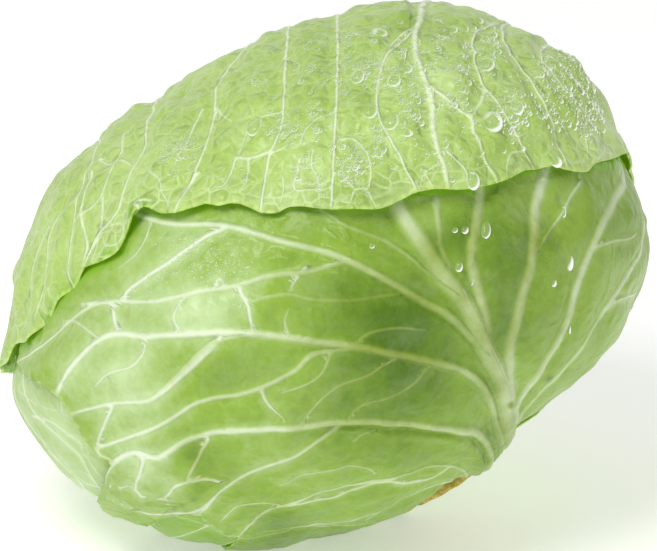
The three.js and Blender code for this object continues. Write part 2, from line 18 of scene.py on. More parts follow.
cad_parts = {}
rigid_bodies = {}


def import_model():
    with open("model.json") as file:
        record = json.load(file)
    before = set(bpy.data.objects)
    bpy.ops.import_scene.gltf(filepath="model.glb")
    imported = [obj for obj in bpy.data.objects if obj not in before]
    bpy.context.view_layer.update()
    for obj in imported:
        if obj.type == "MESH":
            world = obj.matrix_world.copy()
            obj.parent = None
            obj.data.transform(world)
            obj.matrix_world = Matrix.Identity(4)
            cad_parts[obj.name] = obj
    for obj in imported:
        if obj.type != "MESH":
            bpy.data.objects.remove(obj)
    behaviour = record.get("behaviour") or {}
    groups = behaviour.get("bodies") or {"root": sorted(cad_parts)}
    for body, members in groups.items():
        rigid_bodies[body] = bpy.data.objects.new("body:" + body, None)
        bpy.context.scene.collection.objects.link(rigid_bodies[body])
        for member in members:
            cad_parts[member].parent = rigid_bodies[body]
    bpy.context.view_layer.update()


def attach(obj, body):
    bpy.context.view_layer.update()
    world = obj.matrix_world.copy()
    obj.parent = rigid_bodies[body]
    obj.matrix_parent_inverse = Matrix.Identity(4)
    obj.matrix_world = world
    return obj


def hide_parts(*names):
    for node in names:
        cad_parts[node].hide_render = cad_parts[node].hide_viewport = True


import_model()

bl_info = {
    "name": "Cabbage head",
    "version": (1, 0, 0),
    "blender": (4, 5, 0),
    "location": "View3D > Sidebar > Cabbage",
    "description": "Builds a head of green cabbage on the packed model",
    "category": "Object",
}

BODY = "root"
MM = 0.001

# ---- the head, in its own frame: x right across the broad face, y up it, z out of it, mm ----

FACE_TILT = math.radians(70)  # of the broad face, from lying flat
CENTRE_HEIGHT = 86.5  # of the head's middle over the floor
# Radius of the broad face's outline, every 10 degrees from x on, anticlockwise.
OUTLINE_RADII = (
    107, 110, 108, 107, 108, 104, 100, 96, 90, 85, 83, 80, 79, 79, 83, 88, 93, 97,
    101, 105, 115, 114.5, 112.5, 106.5, 105.5, 98, 93, 87, 87, 87, 85, 87.5, 84.5, 87, 94, 102,
)
HALF_DEPTH = 104
# Directions from the middle, and angles round them in radians: the head swells low at its back, and
# is hollow round the stem.
SWELL_TOP = np.array((8, -77.9, -34)) / np.linalg.norm((8, -77.9, -34))
SWELL_HEIGHT = 6
SWELL_SPREAD = 0.2
STEM_AXIS = np.array((0.5, -0.857, -0.12)) / np.linalg.norm((0.5, -0.857, -0.12))
HOLLOW_DEPTH = 14
HOLLOW_SPREAD = 0.2
# The stem's cut end and its root lie at these distances from the middle.
STEM_END = 81.4
STEM_ROOT = 44
STEM_RADIUS = 13.5
STEM_TIP_RADIUS = 7
CUT_BEVEL = 1.2
# The leaves start on a circle round the stem: its distance from the middle, and its angle from the
# stem's axis.
BASE_START = 80.5
BASE_REACH = 0.208
# How deep each layer lies under the head's surface, and how thick a leaf is.
CAP_DEPTH = 0
FRONT_DEPTH = 3.2
LEFT_DEPTH = 5.8
UNDER_DEPTH = 5.8
HEART_DEPTH = 10.8
BLADE = 1.3
EDGE = 0.8
FLOOR_GAP = 0.05

RIDGE_RISE = 0.16  # angle over which the ridges rise from the stem
BULGE_SPAN = 24  # distance between two guides from which the blade swells in full
LIFT_REACH = 28  # how far in from its free edge a leaf lifts
EDGE_BLEND = 8  # power with which the rows take on the edge's form
THINNING = 6  # how far in from its edge a leaf is thinner
ROUNDING = 0.3  # how far its edge is rounded out
COARSE = 3  # steps of the outer grid in one step of the inner
SPARSE = 3  # steps between points that are enough to measure a distance
FAR = 99.0  # a distance beyond all that matter

FADE = 4  # steps over which a vein fades out
FAINTEST = 0.6  # what is left of its tone at its tip
HIDING = 0.8  # share of a thicker vein's width in which a thinner one isn't told apart
BRANCHING = 11  # steps back along a vein to where a branch leaves it
EASING = 6  # steps in which the branch swings over to its own route
SHORTEST = 12  # steps of the shortest vein that is kept
STRAND_REACH = 9.0  # distance at which a vein no longer counts
MEETING = 1.1  # distance to two veins at which the signed distance loses its sign

# Veins too small to be drawn one by one: where they start and end, in steps along the guides, how
# much of the way to the next guide they take, their bend, and their width and tone at both ends.
SIDE_START = 12
SIDE_RUN = (8, 16)
SIDE_AHEAD = 10
SIDE_REACH = (0.35, 0.7)
SIDE_BEND = 0.12
SIDE_SPACING = (0.7, 1.3)
SIDE_WIDTH = (0.5, 0.2)
SIDE_TONE = (0.6, 0.5)
SIDE_FRONT = 8  # they lie behind this z, where none is drawn

# Points handled at one time when distances to an edge, a vein or a ridge are measured.
EDGE_PART = 40
VEIN_PART = 16
RIDGE_PART = 12

# Places on the broad face are also given as they are seen from 2.4 m straight out of it, in steps
# of a third of a millimetre, right and down from the corner of a view with the head in it.
VIEW_STEP = 0.33
VIEW_CENTRE = (325, 276)
VIEW_DISTANCE = 2400
VIEW_SIZE = (657, 551)

KEY_PLACE = (-350, 600, 850)
KEY_SIZE = 480
FILL_PLACE = (900, 60, 700)
FILL_SIZE = 900


@dataclass
class Guide:
    """A route on the head from the stem to a leaf's edge, and that edge on to the next guide.

    width and height are its ridge at the stem and at the edge, in mm, and a guide without height is
    no vein. lift is how far the edge stands up there; crest is the share of the width which is pale,
    and tone is how clearly it shows at both ends. It branches off a thicker vein where it is parting
    mm away from it, and a low profile gives its ridge steeper sides.
    """

    width: tuple
    route: tuple
    edge: tuple = ()
    height: tuple = (0, 0)
    lift: float = 0
    crest: float = 0.3
    tone: tuple = (1.0, 1.0)
    parting: float = 3.2
    profile: float = 2.0


@dataclass
class Strand:
    """A vein: its half width in mm at both ends, how strongly it shows, its places in view steps."""

    width: tuple
    tone: float
    places: tuple


# ---- the leaves' guides -----------------------------------------------------

CAP_VEINS = (
    # right edge
    Guide(width=(3, 2), route=(
        (58, -52, -14), (66, -45, -10), (77, -30, -38), (84, -16, -56), (96, 8, -48), (101, 23, -37),
        (103, 34, -11), (103, 37, 1),
    ), edge=((101.5, 41, 7), (98, 40, 22), (93, 38, 38), (89, 37, 46))),
    # right vein
    Guide(height=(1.6, 0.5), width=(3, 1.3), lift=0.1, route=(
        (52, -40, -64), (60, -12, -83), (66, 22, -80), (70, 50, -63), (71, 72, 33), (77, 62, 42),
        (84, 53, 38), (90, 44, 36), (87, 36, 51),
    ), edge=((85, 34, 55), (80, 33, 61))),
    # third right vein
    Guide(height=(2.2, 0.6), width=(3, 1.4), lift=1, route=(
        (44, -38, -74), (48, -8, -91), (52, 28, -87), (56, 60, -65), (58, 81, 23), (60, 73, 42),
        (65, 65, 53), (70, 57, 58), (73, 48, 60), (77, 34, 65),
    ), edge=((72, 35, 69),)),
    # second right vein
    Guide(height=(2.2, 0.6), width=(3, 1.4), lift=0.3, route=(
        (41, -37, -78), (44, -5, -94), (47, 30, -89), (51, 60, -68), (55, 82, 24), (49, 79, 40),
        (48, 73, 53), (50, 64, 65), (56, 53, 72), (60, 47, 73), (66, 34, 75),
    ), edge=((62, 33, 78), (56, 30, 84), (49, 28, 88), (44, 27, 91))),
    # midrib
    Guide(height=(4.5, 0.9), width=(5, 1.8), lift=3, crest=0.42, route=(
        (38, -35, -82), (36, 0, -98), (33, 35, -93), (31, 65, -71), (32, 89, 19), (31, 84, 38),
        (29, 77, 54), (30, 69, 67), (34, 56, 79), (35, 45, 87), (38, 27, 94),
    ), edge=((33, 27, 96),)),
    # first left vein
    Guide(height=(2.2, 0.6), width=(3, 1.3), lift=3, route=(
        (34, -36, -84), (32, 0, -99), (28, 36, -93), (26, 66, -71), (26, 89, 18), (26, 77, 55),
        (19, 69, 66), (17, 52, 85), (24, 37, 94), (28, 26, 97),
    ), edge=((22, 23, 99), (17, 21, 100), (11, 21, 101))),
    # second left vein
    Guide(height=(2.2, 0.6), width=(3, 1.4), lift=0.4, route=(
        (24, -40, -87), (14, -5, -103), (7, 30, -98), (3, 65, -68), (4, 84, 20), (4, 63, 72), (3, 43, 90),
        (2, 21, 101),
    ), edge=((-8, 22, 99), (-12, 22, 99), (-15, 20, 98))),
    # third left vein
    Guide(height=(2.2, 0.7), width=(3, 1.4), lift=0.6, route=(
        (16, -43, -87), (2, -10, -103), (-9, 25, -98), (-14, 58, -71), (-12, 82, 14), (-13, 65, 63),
        (-14, 48, 82), (-18, 37, 89), (-20, 20, 97),
    ), edge=((-28, 23, 93), (-33, 22, 92), (-37, 23, 90), (-41, 22, 89))),
    # fourth left vein
    Guide(height=(1.8, 0.6), width=(3, 1.4), lift=0.7, route=(
        (10, -46, -87), (-10, -15, -102), (-25, 20, -96), (-30, 52, -68), (-25, 76, 15), (-34, 64, 41),
        (-36, 50, 65), (-40, 36, 78), (-47, 20, 86),
    ), edge=((-53, 20.5, 83), (-56, 22, 79), (-59.5, 21, 78), (-62, 16, 78), (-65, 9, 77), (-69, 6, 75))),
    # fifth left vein
    Guide(height=(1.6, 0.6), width=(3, 1.4), lift=0.1, route=(
        (3, -52, -83), (-28, -25, -98), (-49, 5, -90), (-58, 35, -66), (-55, 58, 0), (-59, 42, 55),
        (-64, 28, 67), (-66, 21, 70), (-73, 12, 67), (-76, 3, 67),
    ), edge=((-79, -1, 65),)),
    # sixth left vein
    Guide(height=(1.4, 0.4), width=(3, 1.3), lift=-0.8, route=(
        (-4, -60, -77), (-42, -34, -91), (-66, -8, -80), (-78, 20, -56), (-74, 44, 19), (-80, 17, 54),
        (-83, 6, 56), (-81, -4, 63),
    ), edge=((-85, -7, 57), (-90, -14, 51), (-93, -17, 46), (-97, -21, 40), (-102, -23, 23))),
    # left edge
    Guide(width=(3, 2), lift=-0.8, route=(
        (-8, -68, -69), (-42, -57, -77), (-72, -45, -69), (-93, -35, -53), (-105, -28, 20),
    )),
)

FRONT_VEINS = (
    # basal edge
    Guide(width=(3, 2), lift=1, route=(
        (35, -72.5, 7.5), (30, -74.5, 1), (22, -76, -10), (10, -77, -32), (-5, -73, -50), (-20, -70, -58),
    ), edge=((-31, -74, -50), (-37, -80, -34), (-34, -85, -15))),
    # bottom vein
    Guide(height=(1, 0.4), width=(2, 1.2), route=(
        (41, -67, 24), (35, -68, 36), (26, -71, 40), (13, -79, 31), (2, -81, 26), (-10, -81, 34),
        (-28, -85, 25),
    )),
    # seventh lateral
    Guide(height=(1.2, 0.5), width=(2, 1.3), tone=(0.5, 0.9), route=(
        (45, -63, 32), (41, -61, 45), (34, -61, 53), (24, -64, 57), (13, -66, 60), (1, -69, 57),
        (-14, -74, 56), (-21, -77, 50), (-29, -84, 29),
    ), edge=((-32, -81, 37), (-38, -78, 46))),
    # sixth lateral
    Guide(height=(2, 0.8), width=(3, 1.6), crest=0.34, tone=(0.7, 1.0), parting=7, route=(
        (49, -60, 32), (48, -56, 46), (42, -52, 60), (22, -51, 75), (5, -49.5, 82), (-11, -58, 77),
        (-21, -61, 72), (-33, -68, 63), (-40, -75, 52),
    ), edge=(
        (-44, -76, 50), (-52, -78, 38), (-58, -80, 24), (-65, -78, 14), (-70, -78, 6), (-72, -72, 24),
        (-71, -67, 40),
    )),
    # fifth lateral
    Guide(height=(3, 1.2), width=(3.5, 2.2), lift=0.8, crest=0.4, tone=(0.5, 1.0), route=(
        (52, -58, 29), (51.5, -53.5, 43), (47, -49.5, 56), (35, -48, 70), (22, -47, 78), (11, -46, 83),
        (-8, -48, 85), (-33, -49, 82), (-45, -53, 75), (-53, -57, 68), (-61, -56, 65), (-68, -60, 56),
    ), edge=((-69, -59, 56), (-72, -57, 55))),
    # fourth lateral
    Guide(height=(2, 0.5), width=(3, 1.6), lift=0.6, crest=0.36, tone=(0.6, 0.95), route=(
        (54, -57, 26), (53, -50, 43), (51, -42, 57), (47, -36.5, 68), (41, -32.5, 76), (32, -29, 85),
        (19, -26.5, 92), (9, -24, 96), (-1, -23, 97), (-11, -31, 95), (-26, -37, 90), (-40, -40, 85),
        (-50, -46, 78), (-73, -55, 56),
    ), edge=((-78, -50, 55), (-80, -47, 55))),
    # third lateral fork
    Guide(height=(2.4, 0.8), width=(3, 1.8), lift=0.6, tone=(0.5, 0.9), route=(
        (55, -57, 21), (54, -49, 43), (52, -41, 58), (47.5, -35.2, 69), (41.5, -31, 78), (31.5, -27.8, 86),
        (19, -25.3, 93), (9, -23, 96.5), (-4, -21.8, 98), (-16, -20.5, 98), (-33, -20, 95), (-51, -36, 83),
        (-55, -39, 80), (-69, -41, 70), (-81, -44, 56),
    ), edge=((-85, -41, 55),)),
    # third lateral
    Guide(height=(3, 1), width=(3.5, 2), lift=0.6, crest=0.4, tone=(0.45, 1.0), route=(
        (56, -57, 17), (55, -48, 43), (53, -40.5, 58), (48.5, -33.5, 70), (42, -29.5, 79), (31, -26.3, 86),
        (19, -24, 94), (9, -22, 97), (-4, -20.5, 98), (-16, -19, 98), (-33, -18, 95), (-56, -19, 86),
        (-69, -19, 76), (-80, -28, 65), (-86, -38, 55),
    ), edge=((-89, -37, 52), (-90, -35, 51), (-96, -33, 42))),
    # second lateral
    Guide(height=(2, 0.5), width=(3, 1.5), lift=0.2, crest=0.34, tone=(0.5, 0.9), parting=8, route=(
        (57, -57, 13), (56, -48, 42), (54, -38, 58), (51.5, -32.5, 68), (45, -22, 83), (39, -16.5, 88),
        (30.5, -11.5, 95), (14, -3, 100), (3, 0.5, 101), (-7, 1, 100.5), (-17, 0, 99), (-28, -3, 97),
        (-40, -5, 93), (-54, -8, 85), (-73, -9, 69), (-92, -23, 45), (-100, -28, 28),
    ), edge=((-97, -14, 22), (-86, 8, 42))),
    # first lateral
    Guide(height=(2.6, 0.7), width=(3.5, 1.6), crest=0.4, tone=(0.5, 1.0), route=(
        (57.5, -57, 9), (56.5, -47.5, 41), (55, -38, 58), (52.5, -31, 69), (46.5, -19.5, 83.5),
        (39.5, -13, 90), (31, -8, 95), (14, 1.5, 100), (2, 7, 101), (-14, 11, 98), (-32, 16, 92),
        (-51, 17, 82), (-73, 26, 52), (-80, 29, 38),
    ), edge=((-70, 38, 48), (-58, 45, 56))),
    # top lateral
    Guide(height=(1.4, 0.3), width=(2.5, 1.4), tone=(0.35, 0.35), route=(
        (58, -57, 5), (57, -47, 40.5), (55.7, -38, 57), (53.3, -29, 72), (50, -21, 80.5), (45.7, -13.5, 87),
        (39.5, -6, 92), (31, 3, 97), (20, 10.5, 98), (5, 17, 99), (-11, 29, 92), (-30, 41, 76),
        (-42, 48, 66),
    ), edge=((-20, 58, 70),)),
    # midrib
    Guide(height=(5, 0.8), width=(6, 2.6), crest=0.62, tone=(0.66, 0.72), profile=1.1, route=(
        (58.7, -57, 1), (58, -47, 39), (57, -38, 55), (54.7, -30, 69), (51.3, -23, 78), (45.5, -10, 89),
        (39.3, -2, 94), (31, 10, 96), (23, 22, 96), (13, 43, 88), (4, 64, 70),
    ), edge=((26, 65, 66),)),
    # first right vein
    Guide(height=(2, 0.4), width=(2.5, 1.6), crest=0.8, tone=(0.7, 0.75), route=(
        (59.3, -57, -3), (59, -47, 37), (58.3, -38, 53), (56.3, -29, 68), (53.5, -22, 77), (51, -14, 83),
        (48, -2, 89), (47, 7, 91), (48, 17, 88), (50, 35, 82), (49, 43, 79), (48, 60, 66),
    ), edge=((64, 58, 56),)),
    # second right vein
    Guide(height=(2.2, 0.7), width=(3, 1.8), crest=0.8, tone=(0.7, 0.9), route=(
        (60, -56.5, -7), (60, -47, 34), (59.7, -38, 51), (59, -31, 62), (60, -21, 73), (62.5, -9, 78),
        (65, 4, 78), (66, 11, 78), (67, 23, 74), (74, 44, 56), (77, 55, 42),
    ), edge=((88, 50, 26),)),
    # right fold
    Guide(height=(2.4, 0.8), width=(3.5, 2.2), crest=0.6, tone=(0.7, 0.85), route=(
        (60.5, -56, -11), (61, -48, 28), (62, -41, 43), (67, -34, 49), (78, -16, 60), (82, -2, 62),
        (87, 13, 57), (94, 25, 40), (98, 35, 16), (99, 45, 8),
    ), edge=((102, 44, -2),)),
    # outer right vein
    Guide(height=(1.6, 0.6), width=(3, 1.8), crest=0.6, tone=(0.6, 0.9), route=(
        (61, -55, -15), (62, -48, 20), (64, -43, 33), (76, -33, 37), (86, -19, 43), (95, -5, 38),
        (102, 7, 24), (105, 18, 6), (104, 36, -12),
    ), edge=((97, 42, -20),)),
    # right edge
    Guide(width=(3, 2), route=(
        (60, -52, -22), (66, -38, -43), (72, -18, -64), (80, 4, -65), (86, 24, -55), (88, 44, -33),
    )),
)

LEFT_VEINS = (
    # back edge
    Guide(width=(2, 2), route=(
        (-6, -70, -56), (-38, -50, -77), (-62, -36, -74), (-78, -14, -60), (-80, 12, -47),
    ), edge=((-86, 10, -40),)),
    # back vein
    Guide(height=(1, 0.4), width=(3, 1.6), route=(
        (-4, -76, -47), (-42, -62, -62), (-70, -48, -60), (-90, -22, -44), (-92, 6, -32),
    ), edge=((-97, 4, -24),)),
    # under
    Guide(height=(0.2, 0.4), width=(3, 1.6), route=(
        (-2, -79, -42), (-40, -70, -52), (-68, -61, -46), (-90, -45, -28), (-99, -26, -18), (-99, -6, -14),
    ), edge=((-102, -7, -4),)),
    # ridge
    Guide(height=(0.2, 0.6), width=(3, 2), route=(
        (0, -81, -36), (-32, -77, -40), (-56, -72, -28), (-74, -69, 2), (-80, -66, 20), (-90, -57, 18),
        (-98, -45, 14), (-103, -32, 8), (-103, -12, 4),
    ), edge=((-101, -12, 15),)),
    # vein
    Guide(height=(0.2, 0.7), width=(2, 1.5), route=(
        (3, -83, -30), (-28, -80, -34), (-50, -77, -24), (-66, -74, 4), (-73, -67, 30), (-80, -58, 40),
        (-94, -45, 30), (-98, -30, 28), (-97, -12, 26),
    ), edge=((-93, -9, 37),)),
    # front edge
    Guide(width=(2, 2), route=(
        (6, -84, -24), (-26, -82, -28), (-48, -79, -20), (-62, -77, -2), (-65, -71, 26), (-64, -62, 48),
        (-70, -46, 59), (-84, -26, 52), (-88, -6, 46),
    )),
)

UNDER_VEINS = (
    # under edge
    Guide(width=(2, 2), route=(
        (28, -71, 9), (21, -76, 2), (8, -82, -6), (-12, -84, -12), (-24, -84, -18),
    ), edge=((-29, -85, -13),)),
    # last vein
    Guide(height=(0.6, 0.3), width=(2, 1.4), route=(
        (29, -68, 24), (8, -76, 24), (-8, -81, 16), (-21, -84, 4), (-33, -86, -6),
    ), edge=((-38, -87, -3),)),
    # midrib
    Guide(height=(1, 0.3), width=(2.4, 1.6), route=(
        (31, -65, 34), (24, -65, 41), (5, -70, 45), (-15, -77, 38), (-31, -83, 14), (-43, -87, 2),
    ), edge=((-48, -86, 4),)),
    # first vein
    Guide(height=(0.6, 0.3), width=(2, 1.4), route=(
        (31, -63, 40), (24, -59, 53), (5, -62, 60), (-21, -70, 54), (-37, -78, 35), (-51, -84, 8),
    ), edge=((-55, -81, 8),)),
    # front edge
    Guide(width=(2, 2), route=(
        (32, -60, 46), (24, -53, 64), (5, -52, 72), (-21, -59, 68), (-44, -69, 51), (-57, -79, 8),
    )),
)

# ---- smaller veins, in view steps -------------------------------------------

CAP_STRANDS = (
    Strand((0.7, 0.4), 0.8, ((560, 62), (583, 90), (607, 120), (618, 135), (626, 148))),
    Strand((0.5, 0.3), 0.6, ((583, 125), (585, 140), (588, 158))),
    Strand((0.6, 0.4), 0.8, ((414, 26), (400, 35), (388, 50))),
    Strand((0.7, 0.5), 0.9, (
        (431, 88), (440, 95), (450, 103), (467, 115), (471, 120), (473, 132), (478, 140), (486, 162),
        (493, 184))),
    Strand((0.5, 0.4), 0.7, ((485, 88), (482, 100), (476, 110), (471, 117))),
    Strand((0.6, 0.3), 0.8, (
        (268, 152), (258, 156), (245, 159), (237, 157), (233, 168), (228, 180), (224, 187), (215, 188))),
    Strand((0.5, 0.3), 0.7, ((270, 154), (280, 150), (288, 145))),
    Strand((0.5, 0.3), 0.7, (
        (300, 160), (299, 168), (297, 177), (294, 185), (297, 192), (312, 190), (325, 190), (330, 187))),
    Strand((0.5, 0.3), 0.6, ((248, 160), (248, 175), (246, 185), (241, 191))),
    Strand((0.5, 0.3), 0.7, ((217, 108), (222, 115), (232, 122))),
    Strand((0.5, 0.3), 0.7, ((199, 172), (190, 183), (183, 190), (181, 208))),
    Strand((0.6, 0.3), 0.7, ((203, 110), (197, 122), (190, 135), (186, 150), (176, 166))),
    Strand((0.7, 0.5), 0.9, ((92, 172), (87, 196), (86, 218), (86, 235), (88, 246), (85, 266))),
    Strand((0.7, 0.5), 0.9, ((62, 213), (50, 240), (46, 262), (42, 285), (36, 316))),
    Strand((0.5, 0.4), 0.8, ((50, 225), (38, 250), (32, 275), (30, 300), (24, 326))),
    Strand((0.5, 0.4), 0.8, (
        (128, 130), (122, 150), (112, 172), (107, 196), (102, 222), (98, 242), (95, 262))),
    Strand((0.5, 0.4), 0.7, ((100, 160), (110, 164), (121, 160), (132, 166))),
    Strand((0.5, 0.4), 0.7, ((107, 196), (98, 205), (88, 214), (76, 222))),
    Strand((0.5, 0.3), 0.7, (
        (340, 140), (355, 138), (365, 150), (370, 165), (370, 180), (367, 190), (357, 190), (348, 207))),
    Strand((0.45, 0.3), 0.7, ((367, 190), (371, 199), (374, 208))),
    Strand((0.45, 0.3), 0.6, ((355, 190), (345, 180), (334, 172))),
    Strand((0.5, 0.3), 0.8, ((447, 152), (455, 162), (463, 172), (463, 185), (466, 191))),
    Strand((0.4, 0.25), 0.6, ((420, 170), (424, 178), (430, 190))),
    Strand((0.4, 0.25), 0.6, ((440, 165), (428, 171), (421, 178), (418, 190))),
    Strand((0.45, 0.25), 0.7, ((510, 134), (520, 136), (528, 132))),
    Strand((0.45, 0.25), 0.6, ((520, 152), (510, 154), (505, 164), (502, 178))),
    Strand((0.4, 0.25), 0.6, ((313, 150), (312, 166), (318, 178), (320, 204))),
    Strand((0.4, 0.25), 0.6, ((283, 178), (284, 190), (280, 204))),
    Strand((0.45, 0.3), 0.5, ((110, 225), (120, 223), (126, 232), (121, 243), (108, 245), (103, 236))),
    Strand((0.45, 0.3), 0.6, ((150, 172), (160, 180), (163, 192), (170, 210))),
    Strand((0.4, 0.25), 0.6, ((207, 142), (193, 150), (176, 152), (160, 160))),
    Strand((0.4, 0.25), 0.6, ((280, 112), (262, 118), (250, 126), (244, 140), (237, 157))),
    Strand((0.4, 0.25), 0.6, ((336, 112), (320, 118), (306, 130), (300, 146), (288, 145))),
    Strand((0.4, 0.25), 0.5, ((549, 118), (560, 124), (570, 136), (577, 152))),
    Strand((0.6, 0.5), 1.0, ((143, 212), (144, 208), (139, 206), (140, 203), (147, 201), (154, 202))),
)
FRONT_STRANDS = (
    Strand((0.77, 0.5), 1.0, (
        (225, 229), (208, 236), (190, 249), (170, 263), (150, 275), (130, 291), (117, 307), (113, 303),
        (98, 303), (85, 304))),
    Strand((0.6, 0.48), 0.92, ((115, 308), (117, 318), (120, 328), (122, 335))),
    Strand((0.6, 0.42), 0.92, ((217, 287), (217, 282), (222, 279), (224, 284))),
    Strand((0.48, 0.48), 0.29, (
        (246, 302), (262, 299), (275, 296), (290, 294), (310, 299), (330, 300), (350, 300), (400, 293))),
    Strand((0.6, 0.48), 0.92, ((306, 268), (300, 275), (293, 285), (291, 292))),
    Strand((0.66, 0.54), 1.0, ((240, 288), (243, 297), (247, 303), (250, 318), (252, 331))),
    Strand((0.54, 0.36), 0.57, ((287, 333), (285, 320), (288, 312))),
    Strand((0.54, 0.42), 0.46, ((357, 342), (366, 334), (380, 330), (400, 328), (424, 330))),
    Strand((0.77, 0.5), 1.0, (
        (221, 337), (212, 348), (198, 362), (181, 377), (166, 390), (153, 398), (126, 402), (109, 404),
        (90, 408))),
    Strand((0.6, 0.48), 0.92, ((113, 406), (109, 415), (105, 425), (100, 445), (103, 452), (113, 458))),
    Strand((0.6, 0.36), 0.8, ((262, 388), (266, 400), (275, 410), (284, 418))),
    Strand((0.65, 0.5), 1.0, (
        (168, 453), (160, 453), (147, 450), (135, 450), (122, 456), (115, 463), (111, 468), (107, 480))),
    Strand((0.65, 0.5), 1.0, ((209, 438), (203, 448), (197, 461), (189, 476))),
    Strand((0.65, 0.5), 1.0, (
        (220, 482), (205, 478), (188, 480), (177, 484), (171, 491), (168, 497), (174, 509))),
    Strand((0.65, 0.5), 1.0, ((113, 484), (125, 485), (136, 484), (140, 493), (152, 496), (167, 497))),
    Strand((0.65, 0.5), 1.0, ((147, 455), (144, 468), (139, 479), (136, 484))),
    Strand((0.65, 0.5), 1.0, (
        (215, 497), (204, 508), (185, 511), (162, 513), (143, 510), (125, 501), (107, 491))),
    Strand((0.48, 0.36), 0.57, ((375, 472), (368, 467), (350, 464), (330, 468), (300, 475), (281, 484))),
    Strand((0.48, 0.36), 0.57, ((355, 440), (362, 434), (375, 430))),
    Strand((0.72, 0.48), 0.92, (
        (448, 466), (434, 474), (410, 481), (384, 482), (364, 486), (328, 497), (304, 501), (283, 505),
        (271, 508), (260, 514), (252, 522), (243, 531))),
    Strand((0.54, 0.42), 0.8, ((281, 504), (266, 501), (249, 503), (237, 506), (228, 513), (222, 519))),
    Strand((0.6, 0.42), 0.8, ((364, 522), (330, 525), (294, 527), (274, 529), (261, 533))),
    Strand((0.42, 0.3), 0.57, ((365, 520), (380, 512), (400, 500), (410, 493))),
    Strand((0.99, 0.66), 0.52, ((435, 200), (437, 215), (439, 230), (441, 245), (445, 255), (450, 265))),
    Strand((0.54, 0.42), 0.69, ((578, 182), (570, 195), (563, 208), (556, 220), (548, 231), (537, 250))),
    Strand((0.54, 0.36), 0.69, ((590, 249), (600, 245), (612, 241), (625, 239), (634, 233))),
    Strand((0.54, 0.36), 0.69, ((608, 310), (615, 302), (625, 297), (635, 293))),
    Strand((0.48, 0.36), 0.57, ((330, 354), (322, 372), (306, 384), (284, 392))),
    Strand((0.48, 0.36), 0.57, ((395, 357), (372, 372), (340, 384), (318, 402), (300, 424))),
    Strand((0.48, 0.36), 0.46, ((430, 364), (415, 382), (392, 396), (362, 404), (345, 420))),
    Strand((0.48, 0.36), 0.57, ((103, 340), (92, 330), (80, 322), (66, 320))),
    Strand((0.48, 0.36), 0.69, ((150, 336), (146, 352), (133, 366), (112, 372), (96, 386))),
    Strand((0.48, 0.36), 0.69, ((181, 331), (176, 318), (180, 306), (186, 298))),
    Strand((0.42, 0.3), 0.57, ((150, 224), (146, 240), (138, 254), (122, 268))),
    Strand((0.5, 0.4), 0.8, (
        (463, 290), (470, 306), (482, 328), (493, 350), (502, 372), (509, 394), (512, 416), (512, 436),
        (506, 450))),
)
LEFT_STRANDS = (
    Strand((0.6, 0.5), 0.8, ((51, 451), (68, 467), (87, 482), (111, 488))),
    Strand((0.6, 0.4), 0.7, ((34, 416), (52, 422), (68, 433), (82, 443), (83, 451), (90, 460), (104, 478))),
    Strand((0.4, 0.3), 0.6, ((62, 400), (63, 410), (66, 420))),
    Strand((0.4, 0.3), 0.5, ((20, 390), (34, 402), (48, 408), (62, 412))),
)
UNDER_STRANDS = (
    Strand((0.5, 0.3), 0.6, ((170, 513), (190, 520), (212, 526), (232, 533))),
)

# Where a leaf is deeper or paler than its usual green, partly its own tone and specks and partly painted
# shade beside folds and in hollows: right, down and reach in view steps, amount.
CAP_SHADES = (
    (60, 250, 60, -0.12), (120, 180, 50, -0.05), (250, 190, 50, -0.12), (330, 60, 60, 0.1),
    (440, 80, 24, -0.3), (410, 20, 20, 0.25), (560, 110, 60, 0.02), (385, 195, 22, 0.25),
    (150, 205, 10, 0.3), (200, 120, 30, 0.12), (500, 165, 26, 0.2), (345, 190, 30, 0.3),
    (250, 190, 30, 0.25), (600, 130, 26, -0.3), (355, 100, 18, 0.15), (320, 178, 14, -0.2),
    (300, 165, 12, -0.2), (420, 175, 24, 0.12), (100, 190, 30, 0.14), (560, 110, 30, 0.1),
)
FRONT_SHADES = (
    (400, 320, 52, 0.45), (440, 352, 38, 0.25), (350, 288, 34, 0.2), (318, 312, 50, 0.05),
    (370, 392, 60, 0.34), (430, 392, 34, 0.15), (500, 262, 46, 0.3), (500, 330, 30, 0.3),
    (560, 300, 50, 0.05), (600, 205, 40, 0.1), (300, 480, 70, -0.08), (250, 362, 34, 0.16),
    (420, 455, 44, 0.05), (200, 318, 34, -0.32), (250, 285, 26, -0.1), (130, 350, 50, -0.2),
    (150, 280, 44, -0.16), (240, 250, 30, -0.14), (90, 320, 40, -0.12), (130, 400, 40, -0.2),
    (225, 315, 26, -0.15), (380, 222, 30, 0.2), (460, 230, 26, 0.3), (150, 465, 36, -0.2),
    (485, 455, 14, 0.15), (280, 530, 34, 0.4), (340, 440, 30, 0.1), (625, 280, 26, -0.1),
    (195, 372, 30, 0.08), (225, 465, 30, 0.05), (80, 370, 30, -0.15), (435, 250, 22, 0.3),
    (330, 330, 30, 0.05), (540, 240, 18, 0.25), (180, 240, 24, -0.2), (499, 428, 20, 0.25),
    (490, 385, 14, 0.3), (195, 455, 16, 0.4), (60, 440, 30, 0.1), (458, 295, 14, 0.15), (313, 341, 14, 0.1),
    (350, 290, 20, 0.08), (370, 390, 24, -0.15), (430, 350, 22, -0.1), (250, 360, 24, -0.1),
    (200, 480, 12, 0.25), (299, 426, 16, 0.1), (547, 378, 3, 1.2), (507, 402, 3, 1.0),
)
LEFT_SHADES = ((60, 440, 60, -0.03),)
